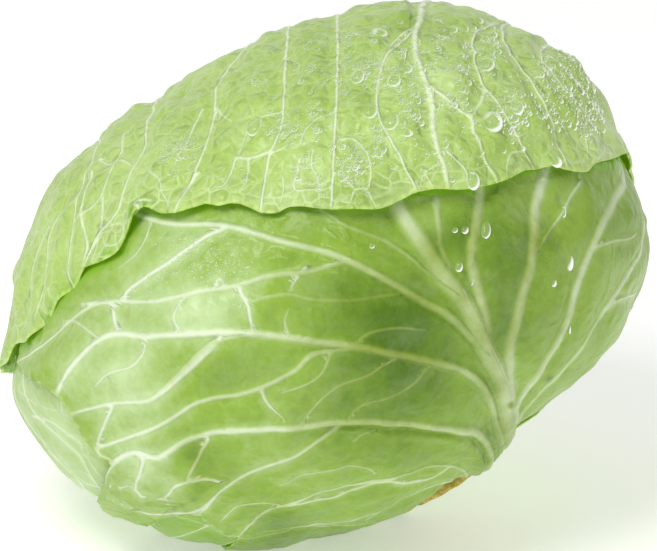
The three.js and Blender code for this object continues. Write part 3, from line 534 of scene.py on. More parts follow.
# Where a leaf stands higher or lower: right, down and reach in view steps, height in mm.
CAP_HILLS = (
    (140, 216, 16, 1.6), (115, 236, 12, 0.8), (230, 190, 20, 0.8), (300, 178, 14, 0.8), (350, 175, 14, 0.8),
    (410, 150, 20, 0.7), (455, 80, 26, 0.9), (255, 125, 26, 0.7), (312, 80, 22, 0.5), (545, 120, 18, 0.6),
    (358, 90, 16, 0.6), (180, 150, 24, 0.8), (90, 210, 26, 0.7),
)
FRONT_HILLS = (
    (140, 385, 30, 1.4), (190, 380, 22, -1.0), (150, 455, 24, 1.2), (225, 465, 24, -0.6),
    (190, 310, 30, 0.9), (250, 365, 30, 0.7), (290, 260, 26, 0.8), (380, 305, 40, 0.6), (330, 385, 34, 0.7),
    (300, 455, 40, 0.9), (180, 250, 30, 0.7), (90, 330, 26, 0.7), (510, 260, 26, 0.6), (560, 290, 26, -0.6),
    (600, 250, 20, 0.6), (120, 480, 14, -0.6), (440, 460, 24, 0.8), (234, 541, 12, -0.4),
    (116, 262, 15, 1.4), (96, 276, 15, 1.6), (76, 294, 15, 1.6), (56, 313, 15, 1.6), (36, 335, 15, 1.4),
    (130, 240, 13, 1.2),
)
UNDER_HILLS = ((230, 546, 22, 4.6),)
# Sharp folds of the front leaf: places in view steps, and height in mm.
FRONT_FOLDS = (
    (((150, 339), (154, 370), (157, 397), (163, 441)), 1.3),
    (((163, 441), (175, 465), (190, 488), (204, 508)), 1.1),
    (((226, 229), (262, 262), (306, 268)), 0.6),
)
# Where the cap leaf's rolled edge and tip get the painted shade green and, with it, a painted glow: the
# same, with an amount up to 1.
CAP_SHADE_GREEN = (
    (147, 206, 7, 1.0), (136, 211, 6, 1.0), (132, 219, 5, 0.8), (118, 252, 7, 0.5), (109, 257, 8, 0.7),
    (100, 264, 8, 0.8), (91, 272, 8, 0.8), (82, 280, 8, 0.8), (73, 288, 8, 0.8), (64, 297, 8, 0.8),
    (55, 306, 8, 0.7), (46, 316, 8, 0.5), (30, 338, 7, 0.4), (10, 356, 12, 0.7), (134, 236, 6, 0.4),
)

# Where the inner side of the two broad leaves shows, it gets a stronger painted glow in place of the light
# that would come through it: the same.
CAP_INNER_GLOW = ((12, 357, 18, 2.2),)
FRONT_INNER_GLOW = ((227, 545, 12, 2.0),)
# Where the fine dew lies: right, down, reach across and down in view steps, and how thickly.
CAP_DEW = (
    (180, 150, 22, 34, 0.6), (260, 88, 12, 12, 0.5), (302, 120, 30, 22, 0.5), (345, 62, 8, 40, 0.9),
    (372, 72, 18, 24, 1.0), (410, 85, 24, 48, 0.9), (378, 142, 9, 24, 0.9), (488, 55, 14, 28, 0.8),
    (512, 110, 20, 28, 1.0), (560, 90, 36, 46, 0.7), (455, 105, 16, 12, 0.8), (352, 165, 18, 26, 1.0),
    (310, 170, 20, 22, 0.4), (440, 50, 12, 34, 0.6), (230, 170, 20, 16, 0.3), (420, 100, 170, 80, 0.12),
    (290, 130, 30, 14, 0.8), (470, 70, 20, 34, 0.5), (300, 60, 20, 20, 0.35), (590, 120, 14, 24, 0.8),
)
FRONT_DEW = (
    (205, 262, 46, 26, 0.9), (180, 242, 30, 12, 0.6), (238, 300, 20, 10, 0.3), (150, 285, 24, 16, 0.4),
)
# Single drops: right, down, width and height in view steps.
CAP_DROPS = (
    (255, 127, 18, 16), (358, 77, 14, 13), (394, 81, 14, 12), (407, 69, 12, 8), (370, 110, 16, 17),
    (391, 122, 16, 17), (407, 133, 12, 8), (487, 65, 16, 12), (493, 122, 20, 20), (518, 108, 12, 14),
    (473, 181, 14, 18), (556, 162, 14, 11), (452, 180, 7, 5), (445, 145, 8, 8), (453, 30, 10, 6),
    (480, 21, 8, 5), (474, 28, 6, 5), (466, 29, 6, 5), (494, 35, 8, 5), (492, 53, 6, 5), (541, 75, 8, 6),
    (380, 33, 16, 6), (437, 107, 6, 6), (421, 123, 8, 7), (357, 132, 8, 5), (403, 126, 5, 5),
    (461, 150, 4, 4), (296, 67, 8, 6), (104, 156, 8, 6),
)
FRONT_DROPS = (
    (455, 230, 6, 6), (465, 230, 8, 8), (486, 230, 10, 17), (459, 267, 8, 10), (472, 282, 3, 7),
    (564, 212, 5, 11), (570, 263, 8, 15), (554, 283, 6, 8), (570, 330, 2, 8), (372, 246, 6, 5),
)
# The cap leaf's hanging edge across the broad face, in view steps from left to right.
CAP_MARGIN = np.array((
    (5, 363), (12, 347), (27, 342), (50, 313), (72, 290), (100, 265), (123, 251), (131, 224), (138, 207),
    (153, 204), (160, 214), (190, 210), (217, 205), (240, 204), (262, 212), (277, 212), (300, 205),
    (350, 210), (380, 209), (400, 200), (420, 192), (470, 192), (510, 177), (545, 167), (592, 168),
    (634, 163),
), float)

# ---- the head's surface -----------------------------------------------------

TILT_COS, TILT_SIN = math.cos(FACE_TILT), math.sin(FACE_TILT)
DOWN = np.array((0, -TILT_SIN, -TILT_COS))


def unit(vectors):
    """The same directions, one long."""
    return vectors / np.linalg.norm(vectors, axis=-1, keepdims=True)


def lengths_of(vectors):
    """The length of every vector."""
    return np.linalg.norm(vectors, axis=-1)


def between(first, last, share):
    """From first to last, by a share from 0 to 1."""
    return first + (last - first) * share


def smoothstep(low, high, value):
    """Eased from 0 at low to 1 at high."""
    share = np.clip((value - low) / (high - low), 0, 1)
    return share * share * (3 - 2 * share)


def bell(away):
    """A bell curve, 1 where away is 0."""
    return np.exp(-away * away / 2)


def angle_from(directions, axis):
    """Angle in radians from an axis."""
    return np.arccos(np.clip(directions @ axis, -1, 1))


def outline_radius(angle):
    """Radius of the broad face's outline, by a smooth curve through the radii."""
    radii = np.array(OUTLINE_RADII, float)
    place = (angle / (2 * math.pi) * len(radii)) % len(radii)
    step = np.floor(place).astype(int)
    f = place - step
    a, b, c, d = (radii[(step + k) % len(radii)] for k in (-1, 0, 1, 2))
    return 0.5 * (2 * b + (c - a) * f + (2 * a - 5 * b + 4 * c - d) * f ** 2
                  + (3 * b - a - 3 * c + d) * f ** 3)


def head_radius(directions):
    """Distance of the head's surface from its middle: an egg shape with a swell and a hollow."""
    x, y, z = np.moveaxis(directions, -1, 0)
    outline = outline_radius(np.arctan2(y, x))
    radius = 1 / np.sqrt((x * x + y * y) / outline ** 2 + (z / HALF_DEPTH) ** 2)
    swell = SWELL_HEIGHT * bell(angle_from(directions, SWELL_TOP) / SWELL_SPREAD)
    hollow = HOLLOW_DEPTH * bell(angle_from(directions, STEM_AXIS) / HOLLOW_SPREAD)
    return radius + swell - hollow


def layer_radius(directions, depth, raised=0.0):
    """A layer's surface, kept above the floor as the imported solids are."""
    free = head_radius(directions) - depth + raised
    fall, level = directions @ DOWN, 0.05
    room = CENTRE_HEIGHT - FLOOR_GAP - max(depth - FRONT_DEPTH, 0)
    return np.where(fall > level, np.minimum(free, room / np.maximum(fall, level)), free)


def on_layer(points, depth):
    """Points moved in or out to a layer's surface."""
    directions = unit(np.asarray(points, float))
    return directions * layer_radius(directions, depth)[..., None]


def seen(places, depth):
    """Points of a layer that are seen at these places of the view, found in a few rounds."""
    first_guess, rounds = 60.0, 40
    steps = np.asarray(places, float) - VIEW_CENTRE
    flat = np.stack((steps[:, 0], -steps[:, 1]), -1) * VIEW_STEP
    out = np.full(len(flat), first_guess)
    for _ in range(rounds):
        across = flat * ((VIEW_DISTANCE - out) / VIEW_DISTANCE)[:, None]
        points = np.column_stack((across, out))
        reach = layer_radius(unit(points), depth)
        rest = reach ** 2 - (across ** 2).sum(1)
        out = 0.5 * out + 0.5 * np.sqrt(np.maximum(rest, 0))
    return np.column_stack((across, out))


def in_view(points):
    """Places of the view at which points of the head are seen."""
    closer = VIEW_DISTANCE / (VIEW_DISTANCE - points[..., 2]) / VIEW_STEP
    right = VIEW_CENTRE[0] + points[..., 0] * closer
    down = VIEW_CENTRE[1] - points[..., 1] * closer
    return np.stack((right, down), -1)


def to_row(points):
    """From the head's own frame, in mm, to the model's frame, in metres."""
    x, y, z = np.moveaxis(np.asarray(points, float), -1, 0)
    up = y * TILT_SIN + z * TILT_COS + CENTRE_HEIGHT
    return np.stack((x, y * TILT_COS - z * TILT_SIN, up), -1) * MM


def from_row(points):
    """From the model's frame, in metres, back to the head's own frame, in mm."""
    x, y, z = np.moveaxis(np.asarray(points, float) / MM, -1, 0)
    z = z - CENTRE_HEIGHT
    return np.stack((x, y * TILT_COS + z * TILT_SIN, z * TILT_COS - y * TILT_SIN), -1)


def smooth_path(points, spacing=1.0):
    """A centripetal curve through points, cut into even steps."""
    points = np.asarray(points, float)
    if len(points) == 2:
        points = np.array((points[0], points.mean(0), points[1]))
    ends = (2 * points[0] - points[1], 2 * points[-1] - points[-2])
    knots = np.vstack((ends[0], points, ends[1]))
    gaps = np.maximum(lengths_of(np.diff(knots, axis=0)) ** 0.5, 0.01)
    pieces, cuts = [], 24
    share = np.linspace(0, 1, cuts, endpoint=False)[:, None]
    for i in range(len(points) - 1):
        a, b, c, d = knots[i:i + 4]
        before, here, after = gaps[i:i + 3]
        start = ((b - a) / before - (c - a) / (before + here) + (c - b) / here) * here
        finish = ((c - b) / here - (d - b) / (here + after) + (d - c) / after) * here
        pieces.append(b + start * share + (3 * (c - b) - 2 * start - finish) * share ** 2
                      + (2 * (b - c) + start + finish) * share ** 3)
    curve = np.vstack(pieces + [points[-1:]])
    along = np.concatenate(([0], np.cumsum(lengths_of(np.diff(curve, axis=0)))))
    count = max(int(along[-1] / spacing), 2)
    return at_length(curve, along, np.linspace(0, along[-1], count + 1))


def at_length(curve, along, lengths):
    """Points at these lengths along a curve."""
    return np.stack([np.interp(lengths, along, curve[:, k]) for k in range(3)], -1)


def close_to(flat, part, reach):
    """Which points lie in a box round the part, reach mm wider on every side."""
    return np.flatnonzero(((flat > part.min(0) - reach) & (flat < part.max(0) + reach)).all(1))


class Waves:
    """Smooth unevenness about 0, the same each run: waves of like lengths in all directions."""

    def __init__(self, length, seed, count=14):
        draw = np.random.default_rng(seed)
        self.ways = unit(draw.normal(size=(count, 3))) * (2 * math.pi / length)
        self.ways *= draw.uniform(0.7, 1.4, (count, 1))
        self.shifts = draw.uniform(0, 2 * math.pi, count)

    def __call__(self, points):
        total = np.sin(points @ self.ways.T + self.shifts).sum(-1)
        return total / math.sqrt(len(self.shifts) * 2)


# ---- leaves -----------------------------------------------------------------

STEM_SIDE = unit(np.cross((0, 0, 1), STEM_AXIS))
STEM_FRONT = np.cross(STEM_AXIS, STEM_SIDE)


def stem_point(angle):
    """Where a guide starts, by its angle round the stem in degrees."""
    turn = math.radians(angle)
    across = (STEM_SIDE * math.cos(turn) + STEM_FRONT * math.sin(turn)) * math.sin(BASE_REACH)
    return (across + STEM_AXIS * math.cos(BASE_REACH)) * BASE_START


class Leaf:
    """The fine grid of one leaf: rows from the stem to the edge, columns from guide to guide."""

    def __init__(self, guides, depth, base, rows, columns, bulge, crowd=0.0):
        """base is the first and last guide's angle round the stem, bulge how far the blade swells
        between guides, and crowd how much closer the rows lie at the edge, from 0 to 1."""
        self.guides = guides
        self.depth = depth
        last = len(guides) - 1
        starts = [stem_point(base[0] + (base[1] - base[0]) * i / last) for i in range(last + 1)]
        self.paths = [smooth_path((start, *guide.route)) for start, guide in zip(starts, guides)]
        lengths = np.array([lengths_of(np.diff(path, axis=0)).sum() for path in self.paths])
        common = lengths.mean()
        t = np.linspace(0, 1, rows + 1)
        t = t * (1 + crowd - crowd * t)
        own = t * t * (3 - 2 * t)
        crests = []
        for path, length in zip(self.paths, lengths):
            share = np.minimum(t * (common / length + (1 - common / length) * own), 1)
            steps = np.linspace(0, length, len(path))
            crests.append(at_length(path, steps, share * length))
        widest = [lengths_of(b - a)[rows // 3:].max() for a, b in zip(crests, crests[1:])]
        fewest = 4
        counts = np.maximum(fewest, np.round(np.array(widest) / sum(widest) * columns)).astype(int)
        counts[counts.argmax()] += columns - counts.sum()
        points, bulges, lifts, to_edge = [], [], [], []
        for i, count in enumerate(counts):
            share = np.linspace(0, 1, count + 1)[:, None, None]
            if i < last - 1:
                share = share[:-1]
            f = share[:, :, 0]
            here, after = crests[i:i + 2]
            chord = between(here[-1], after[-1], f)
            bend = self.rim(i, f[:, 0]) - chord
            points.append(between(here, after, share) + bend[:, None] * (t ** EDGE_BLEND)[:, None])
            swell = np.minimum(lengths_of(after - here) / BULGE_SPAN, 1) ** 2
            bulges.append(bulge * 4 * f * (1 - f) * swell)
            lifts.append(np.repeat(between(guides[i].lift, guides[i + 1].lift, f), rows + 1, 1))
            to_edge.append((1 - t) * between(lengths[i], lengths[i + 1], f))
        self.t = t
        self.directions = unit(np.concatenate(points).transpose(1, 0, 2))
        self.bulge = np.concatenate(bulges).T
        self.lift = np.concatenate(lifts).T
        self.to_edge = np.concatenate(to_edge).T
        self.base_points = self.directions * layer_radius(self.directions, depth)[..., None]
        self.rim_away = self.rim_distance()
        row, column = np.mgrid[0:self.t.size, 0:self.directions.shape[1]]
        across = np.clip(column, 1, column.max() - 1)
        self.inward = np.clip(row, 1, rows - 1) * self.directions.shape[1] + across

    def rim(self, i, shares):
        """The leaf's outline from one guide's end to the next, at these shares of its length."""
        start, end = self.guides[i].route[-1], self.guides[i + 1].route[-1]
        if not self.guides[i].edge:
            return between(np.array(start), np.array(end), shares[:, None])
        path = smooth_path((start, *self.guides[i].edge, end), spacing=0.5)
        return at_length(path, np.linspace(0, 1, len(path)), shares)

    def rim_distance(self):
        """Distance in mm of every vertex from the leaf's free edge, where it is near one."""
        reach = 14
        points = self.base_points
        edge = np.vstack((points[:, 0], points[-1], points[:, -1]))[::SPARSE]
        flat = points.reshape(-1, 3)
        nearest = np.full(len(flat), FAR)
        for start in range(0, len(edge), EDGE_PART):
            part = edge[start:start + EDGE_PART]
            near = close_to(flat, part, reach)
            if len(near):
                away = lengths_of(flat[near][:, None] - part[None]).min(1)
                nearest[near] = np.minimum(nearest[near], away)
        return nearest.reshape(points.shape[:2])


def strand_field(points, strands):
    """How every point lies to its nearest vein.

    strands are (path, half width at both ends, tone at both ends). Returns the signed distance
    in half widths, the distance in mm, and the tone of that vein; close to a second vein the
    distance has no sign, so that it doesn't pass through nought between the two.
    """
    flat = points.reshape(-1, 3)
    outward = unit(flat)
    far_widths = 9.0
    signed = np.full(len(flat), far_widths)
    best_fit = np.full(len(flat), far_widths)
    away = np.full(len(flat), STRAND_REACH)
    tone = np.zeros(len(flat))
    crowded = np.zeros(len(flat), bool)
    for path, width, strength in strands:
        count = len(path) - 1
        own = np.full(len(flat), STRAND_REACH)
        widths = np.linspace(*width, count)
        fading = np.clip((count - np.arange(count)) / FADE, FAINTEST, 1)
        strengths = np.linspace(*strength, count) * fading
        for start in range(0, count, VEIN_PART):
            part = path[start:start + VEIN_PART + 1]
            near = close_to(flat, part, STRAND_REACH)
            if not len(near):
                continue
            along = np.diff(part, axis=0)
            offset = flat[near][:, None] - part[None, :-1]
            share = np.clip((offset * along).sum(2) / (along ** 2).sum(1), 0, 1)
            rest = offset - along * share[..., None]
            distance = lengths_of(rest)
            best = distance.argmin(1)
            here = np.arange(len(near))
            nearest = distance[here, best]
            side = np.sign((np.cross(along[best], rest[here, best]) * outward[near]).sum(1))
            own[near] = np.minimum(own[near], nearest)
            fit = nearest / widths[start:start + VEIN_PART][best]
            closer = fit < best_fit[near]
            chosen = near[closer]
            best_fit[chosen] = fit[closer]
            signed[chosen] = side[closer] * fit[closer]
            tone[chosen] = strengths[start:start + VEIN_PART][best[closer]]
        crowded |= (own < MEETING) & (away < MEETING)
        away = np.minimum(away, own)
    signed[crowded] = np.abs(signed[crowded])
    shape = points.shape[:-1]
    return signed.reshape(shape), away.reshape(shape), tone.reshape(shape)


def trimmed_paths(leaf):
    """Each guide's vein, from where it branches off the thicker vein that it runs beside."""
    order = sorted(range(len(leaf.guides)), key=lambda i: -leaf.guides[i].height[0])
    kept = []
    strands = []
    for i in order:
        guide, path = leaf.guides[i], leaf.paths[i]
        if guide.height[0] == 0:
            continue
        widths = between(*guide.width, np.linspace(0, 1, len(path))) * guide.crest
        first = 0
        for other, other_widths in kept:
            away = lengths_of(path[:, None] - other[None, ::SPARSE])
            nearest = away.argmin(1)
            room = np.maximum(other_widths[::SPARSE][nearest] * HIDING, guide.parting)
            close = np.flatnonzero(away.min(1) < room)
            if len(close) and close.max() >= first:
                first = int(close.max()) + 1
                branch = other[::SPARSE][nearest[max(first - BRANCHING, 0)]]
        if first > len(path) - SHORTEST:
            continue
        kept.append((path, widths))
        route = path[first:]
        if first:
            eased = first + EASING
            route = np.vstack((smooth_path((branch, path[first], path[eased]))[:-1], path[eased:]))
        strands.append((on_layer(route, leaf.depth), (widths[first], widths[-1]), guide.tone))
    return strands


def side_veins(leaf, every, seed):
    """Small veins that leave the guides at a slant on both sides, where none is drawn."""
    draw = np.random.default_rng(seed)
    strands = []
    for i, path in enumerate(leaf.paths):
        for side in (-1, 1):
            if not 0 <= i + side < len(leaf.guides):
                continue
            other = leaf.paths[i + side]
            start = draw.uniform(SIDE_START, every)
            while start < len(path) - SIDE_START:
                here = int(start)
                level = here * len(other) / len(path)
                to = min(int(level + draw.uniform(*SIDE_RUN)), len(other) - 1)
                ahead = min(here + SIDE_AHEAD, len(path) - 1)
                end = between(path[ahead], other[to], draw.uniform(*SIDE_REACH))
                middle = (path[here] + end) / 2 + (path[ahead] - path[here]) * SIDE_BEND
                points = smooth_path((path[here], middle, end))
                if (points[:, 2] < SIDE_FRONT).all():
                    strands.append((on_layer(points, leaf.depth), SIDE_WIDTH, SIDE_TONE))
                start += draw.uniform(*SIDE_SPACING) * every
    return strands


def leaf_strands(leaf, drawn, every, seed):
    """All of a leaf's veins: its guides, the ones drawn on the broad face, and small side veins."""
    shown = [(drawn_path(s.places, leaf.depth), s.width, (s.tone, s.tone)) for s in drawn]
    return trimmed_paths(leaf) + shown + side_veins(leaf, every, seed)


def drawn_path(places, depth):
    """A curve on a layer, through places of the view."""
    return on_layer(smooth_path(seen(places, depth)), depth)


def ridge_height(leaf):
    """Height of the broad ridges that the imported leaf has, at every vertex."""
    flat = leaf.base_points.reshape(-1, 3)
    highest = np.zeros(len(flat))
    for guide, path in zip(leaf.guides, leaf.paths):
        if guide.height[0] == 0:
            continue
        route = on_layer(path, leaf.depth)
        share = np.linspace(0, 1, len(route))
        for start in range(0, len(route) - 1, RIDGE_PART):
            part = route[start:start + RIDGE_PART + 1]
            near = close_to(flat, part, max(guide.width))
            if not len(near):
                continue
            away = lengths_of(flat[near][:, None] - part[None])
            t = share[start:start + RIDGE_PART + 1][away.argmin(1)]
            rest = np.clip(1 - (away.min(1) / between(*guide.width, t)) ** 2, 0, 1) ** guide.profile
            height = between(*guide.height, np.sqrt(t))
            highest[near] = np.maximum(highest[near], height * rest)
    from_stem = angle_from(leaf.directions, STEM_AXIS)
    rise = smoothstep(BASE_REACH, BASE_REACH + RIDGE_RISE, from_stem)
    return highest.reshape(rise.shape) * rise


def patches_at(points, patches):
    """Sum of soft round patches (right, down, reach, amount), on the side that faces the view."""
    steepness = 1.5
    places = in_view(points)
    total = np.zeros(points.shape[:-1])
    for right, down, reach, amount in patches:
        away = np.hypot(places[..., 0] - right, places[..., 1] - down) / reach
        total += amount * bell(away * steepness)
    facing = smoothstep(-5, 15, points[..., 2])
    return total * facing


def creases_at(points, creases, depth):
    """Height of a blade's sharp folds, which stand like tents over lines of the broad face."""
    total = np.zeros(points.shape[:-1])
    for places, height in creases:
        away = strand_field(points, [(drawn_path(places, depth), (1, 1), (1, 1))])[1]
        total += height * (1 - away / STRAND_REACH)
    return total


def grid_faces(rows, columns, start=0):
    """Quads of a grid, in an order that faces outward on a leaf's outer side."""
    row, column = np.mgrid[0:rows - 1, 0:columns - 1]
    corner = (row * columns + column).ravel() + start
    return np.column_stack((corner, corner + 1, corner + columns + 1, corner + columns))


def leaf_shell(leaf, raised, inner_raised):
    """Vertices and faces of a closed leaf with a rounded edge; its inner side has a coarser grid."""
    rows, columns = leaf.directions.shape[:2]
    thickness = between(BLADE, EDGE, smoothstep(THINNING, 0, leaf.rim_away))
    outer = leaf.directions * layer_radius(leaf.directions, leaf.depth, raised)[..., None]
    inner_radius = layer_radius(leaf.directions, leaf.depth, inner_raised) - thickness
    inner = leaf.directions * inner_radius[..., None]
    loop = around_grid(rows, columns)
    top, bottom = outer.reshape(-1, 3)[loop], inner.reshape(-1, 3)[loop]
    out = unit(top - outer.reshape(-1, 3)[leaf.inward.reshape(-1)[loop]])
    middle = (top + bottom) / 2 + out * ROUNDING
    coarse = inner[::COARSE, ::COARSE]
    coarse_rows, coarse_columns = coarse.shape[:2]
    count = rows * columns
    ring = count + np.arange(len(loop))
    start = count + len(loop)
    points = np.vstack((outer.reshape(-1, 3), middle, coarse.reshape(-1, 3)))
    faces = grid_faces(rows, columns).tolist()
    faces += grid_faces(coarse_rows, coarse_columns, start)[:, ::-1].tolist()
    after = np.roll(np.arange(len(loop)), -1)
    faces += np.column_stack((loop, ring, ring[after], loop[after])).tolist()
    coarse_loop = around_grid(coarse_rows, coarse_columns) + start
    for k, inside in enumerate(coarse_loop):
        steps = [int(ring[(k * COARSE + j) % len(loop)]) for j in range(COARSE, -1, -1)]
        faces.append([int(inside), int(coarse_loop[(k + 1) % len(coarse_loop)]), *steps])
    grid = np.arange(count).reshape(rows, columns)
    sources = np.concatenate((grid.ravel(), loop, grid[::COARSE, ::COARSE].ravel()))
    return points, faces, sources


def around_grid(rows, columns):
    """The vertices round the border of a grid, in order."""
    return np.concatenate((
        np.arange(columns), np.arange(1, rows) * columns + columns - 1,
        (rows - 1) * columns + np.arange(columns - 2, -1, -1), np.arange(rows - 2, 0, -1) * columns,
    ))


def linked(name, data):
    """A new object in the scene."""
    made = bpy.data.objects.new(name, data)
    bpy.context.scene.collection.objects.link(made)
    return made


def keep_values(mesh, name, values):
    """Keep numbers or vectors on a mesh's points, for its material or its nodes to read."""
    single = values.ndim == 1
    layer = mesh.attributes.new(name, "FLOAT" if single else "FLOAT_VECTOR", "POINT")
    layer.data.foreach_set(
        "value" if single else "vector", np.ascontiguousarray(values, np.float32).ravel())


def mesh_object(name, points, faces, attributes=None, outer_count=0):
    """A smooth mesh object from points in the head's own frame."""
    mesh = bpy.data.meshes.new(name)
    mesh.from_pydata(to_row(points).tolist(), [], [list(map(int, face)) for face in faces])
    mesh["outer_count"] = outer_count
    for key, values in (attributes or {}).items():
        keep_values(mesh, key, values)
    mesh.shade_smooth()
    mesh.update()
    return linked(name, mesh)


def circle(across, up, sides):
    """Points of a circle or an oval, by its two half axes."""
    turn = np.linspace(0, 2 * math.pi, sides, endpoint=False)[:, None]
    return across * np.cos(turn) + up * np.sin(turn)


def ring_faces(rings, sides, first, top, bottom):
    """Faces of a closed form: rings of points from number first on, and a point at both its ends."""
    last = first + (rings - 1) * sides
    faces = []
    for k in range(sides):
        step = (k + 1) % sides
        faces.append([top, first + k, first + step])
        for start in range(first, last, sides):
            faces.append([start + k, start + sides + k, start + sides + step, start + step])
        faces.append([last + k, bottom, last + step])
    return faces


def settle(piece, material, nodes=()):
    """Give a finished piece its material, and let it ride on the head in place of its solids."""
    piece.data.materials.clear()
    piece.data.materials.append(material)
    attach(piece, BODY)
    if nodes:
        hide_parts(*nodes)


# ---- materials --------------------------------------------------------------

MATH, RANGE, MIX = "ShaderNodeMath", "ShaderNodeMapRange", "ShaderNodeMix"
NOISE, VECTOR = "ShaderNodeTexNoise", "ShaderNodeVectorMath"
EASED = {"interpolation_type": "SMOOTHSTEP"}
BLEND = {"data_type": "RGBA"}


def linear(code):
    """Linear colour of an sRGB hex value."""
    parts = [int(code[i:i + 2], 16) / 255 for i in (1, 3, 5)]
    return tuple(c / 12.92 if c <= 0.04045 else ((c + 0.055) / 1.055) ** 2.4 for c in parts) + (1.0,)


def node(tree, kind, inputs=None, out=None, **settings):
    """Add a node with its settings, and set or link its inputs; gives the node, or its output out."""
    made = tree.nodes.new(kind)
    for key, value in settings.items():
        setattr(made, key, value)
    for socket, value in (inputs or {}).items():
        if isinstance(value, bpy.types.NodeSocket):
            tree.links.new(value, made.inputs[socket])
        else:
            made.inputs[socket].default_value = value
    return made if out is None else made.outputs[out]


def shared(name, make):
    """The material of that name, made when nothing has asked for it yet."""
    return bpy.data.materials.get(name) or make()


def new_material(name):
    """A bare material, and the node function bound to its tree."""
    material = bpy.data.materials.new(name)
    material.use_nodes = True
    material.node_tree.nodes.clear()
    return material, partial(node, material.node_tree)


def leaf_material(name, greens, vein_colours, rim, shade_green, bloom, net_mm, net, crinkle):
    """Fresh cabbage leaf: waxy skin over pale flesh, with creamy veins and a fine net between them.

    greens are pale, middle and deep; vein_colours are for veins in the palest and deepest blade;
    crinkle is how far the blade swells inside the meshes of its net, in mm.
    """
    material, add = new_material(name)
    place = add("ShaderNodeTexCoord", out="Object")
    veins = add("ShaderNodeAttribute", out="Vector", attribute_name="veins")
    blade = add("ShaderNodeAttribute", out="Vector", attribute_name="blade")
    shade_glow_share = add("ShaderNodeAttribute", out="Fac", attribute_name="shade_green")
    signed, plain, tone = add("ShaderNodeSeparateXYZ", {0: veins}).outputs
    shade, rim_away, away = add("ShaderNodeSeparateXYZ", {0: blade}).outputs

    # How far from the middle of the nearest vein, in half widths; the signed distance stays sharp
    # across a thin vein, and the plain one holds farther out, where the sign jumps.
    side = add(MATH, {0: signed}, 0, operation="ABSOLUTE")
    trust = add(RANGE, {0: away, 1: 1.0, 2: 1.7}, 0, **EASED)
    across = add(MIX, {0: trust, 2: side, 3: plain}, 0)
    crest = add(RANGE, {0: across, 1: 1.7, 2: 0.3, 4: tone}, 0, **EASED)
    halo = add(RANGE, {0: away, 1: 5.0, 2: 0.0, 4: tone}, 0, **EASED)

    # The net of the finest veins: cells some 5 or 6 mm across, with bent sides.
    bend = add(NOISE, {0: place, "Scale": 1 / (6.2 * MM), "Detail": 1.0}, 1)
    bent = add(VECTOR, {0: bend, 1: (0.5, 0.5, 0.5)}, 0, operation="SUBTRACT")
    bent = add(VECTOR, {0: bent, "Scale": 3.2 * MM}, 0, operation="SCALE")
    bent = add(VECTOR, {0: place, 1: bent}, 0, operation="ADD")
    border = {"feature": "DISTANCE_TO_EDGE"}
    cells = add("ShaderNodeTexVoronoi", {0: bent, "Scale": 1 / (net_mm * MM)}, "Distance", **border)
    net_line = add(RANGE, {0: cells, 1: 0.09, 2: 0.0}, 0, **EASED)
    fine_cells = add(
        "ShaderNodeTexVoronoi", {0: bent, "Scale": 1 / (net_mm * 0.36 * MM)}, "Distance", **border)
    fine_line = add(RANGE, {0: fine_cells, 1: 0.12, 2: 0.02}, 0, **EASED)
    patchy = add(NOISE, {0: place, "Scale": 1 / (26 * MM)}, 0)
    patchy = add(RANGE, {0: patchy, 1: 0.36, 2: 0.56}, 0, **EASED)
    near_edge = add(RANGE, {0: rim_away, 1: 14.0, 2: 4.0, 3: 0.35, 4: 1.0}, 0, **EASED)
    patchy = add(MATH, {0: patchy, 1: near_edge}, 0, operation="MULTIPLY")
    net_line = add(MATH, {0: net_line, 1: patchy}, 0, operation="MULTIPLY")

    # Green of the blade: deep, middle or pale by its shade, partly the leaf's own tone and partly painted
    # shade, mottled by two noises, paler by veins; the painted shade green lies over it by
    # shade_glow_share.
    broad = add(NOISE, {0: place, "Scale": 1 / (30 * MM), "Detail": 3.0}, 0)
    small = add(NOISE, {0: place, "Scale": 1 / (4 * MM), "Detail": 3.0, "Roughness": 0.6}, 0)
    broad = add(RANGE, {0: broad, 3: -0.25, 4: 0.25}, 0)
    small = add(RANGE, {0: small, 3: -0.14, 4: 0.14}, 0)
    depth = add(MATH, {0: shade, 1: broad}, 0, operation="ADD")
    depth = add(MATH, {0: depth, 1: small}, 0, operation="ADD")
    depth = add(MATH, {0: halo, 1: -0.16, 2: depth}, 0, operation="MULTIPLY_ADD")
    ramp = add("ShaderNodeValToRGB", {0: depth})
    ramp.color_ramp.elements.new(0.45)
    for element, stop, green in zip(ramp.color_ramp.elements, (0.0, 0.45, 1.0), greens):
        element.position, element.color = stop, green
    colour = add(MIX, {0: shade_glow_share, 6: ramp.outputs[0], 7: shade_green}, 2, **BLEND)
    deep = add(RANGE, {0: depth, 1: 0.1, 2: 0.9}, 0, **EASED)
    vein = add(MIX, {0: deep, 6: vein_colours[0], 7: vein_colours[1]}, 2, **BLEND)
    for share, line in ((net, net_line), (net * 0.25, fine_line), (0.9, crest)):
        shown = add(MATH, {0: line, 1: share}, 0, operation="MULTIPLY")
        colour = add(MIX, {0: shown, 6: colour, 7: vein}, 2, **BLEND)
    edge = add(RANGE, {0: rim_away, 1: 2.0, 2: 0.2, 4: 0.7}, 0, **EASED)
    colour = add(MIX, {0: edge, 6: colour, 7: rim}, 2, **BLEND)

    # The waxy bloom lies in soft, cloudy patches, and dulls the gloss.
    cloud = add(NOISE, {0: place, "Scale": 1 / (15 * MM), "Detail": 4.0, "Roughness": 0.65}, 0)
    cloud = add(RANGE, {0: cloud, 1: 0.45, 2: 0.75}, 0, **EASED)
    bloomed = add(MATH, {0: cloud, 1: bloom * 0.4}, 0, operation="MULTIPLY")
    colour = add(MIX, {0: bloomed, 6: colour, 7: linear("#dfe9cd")}, 2, **BLEND)
    gloss = add(RANGE, {0: cloud, 3: 0.3, 4: 0.5}, 0)

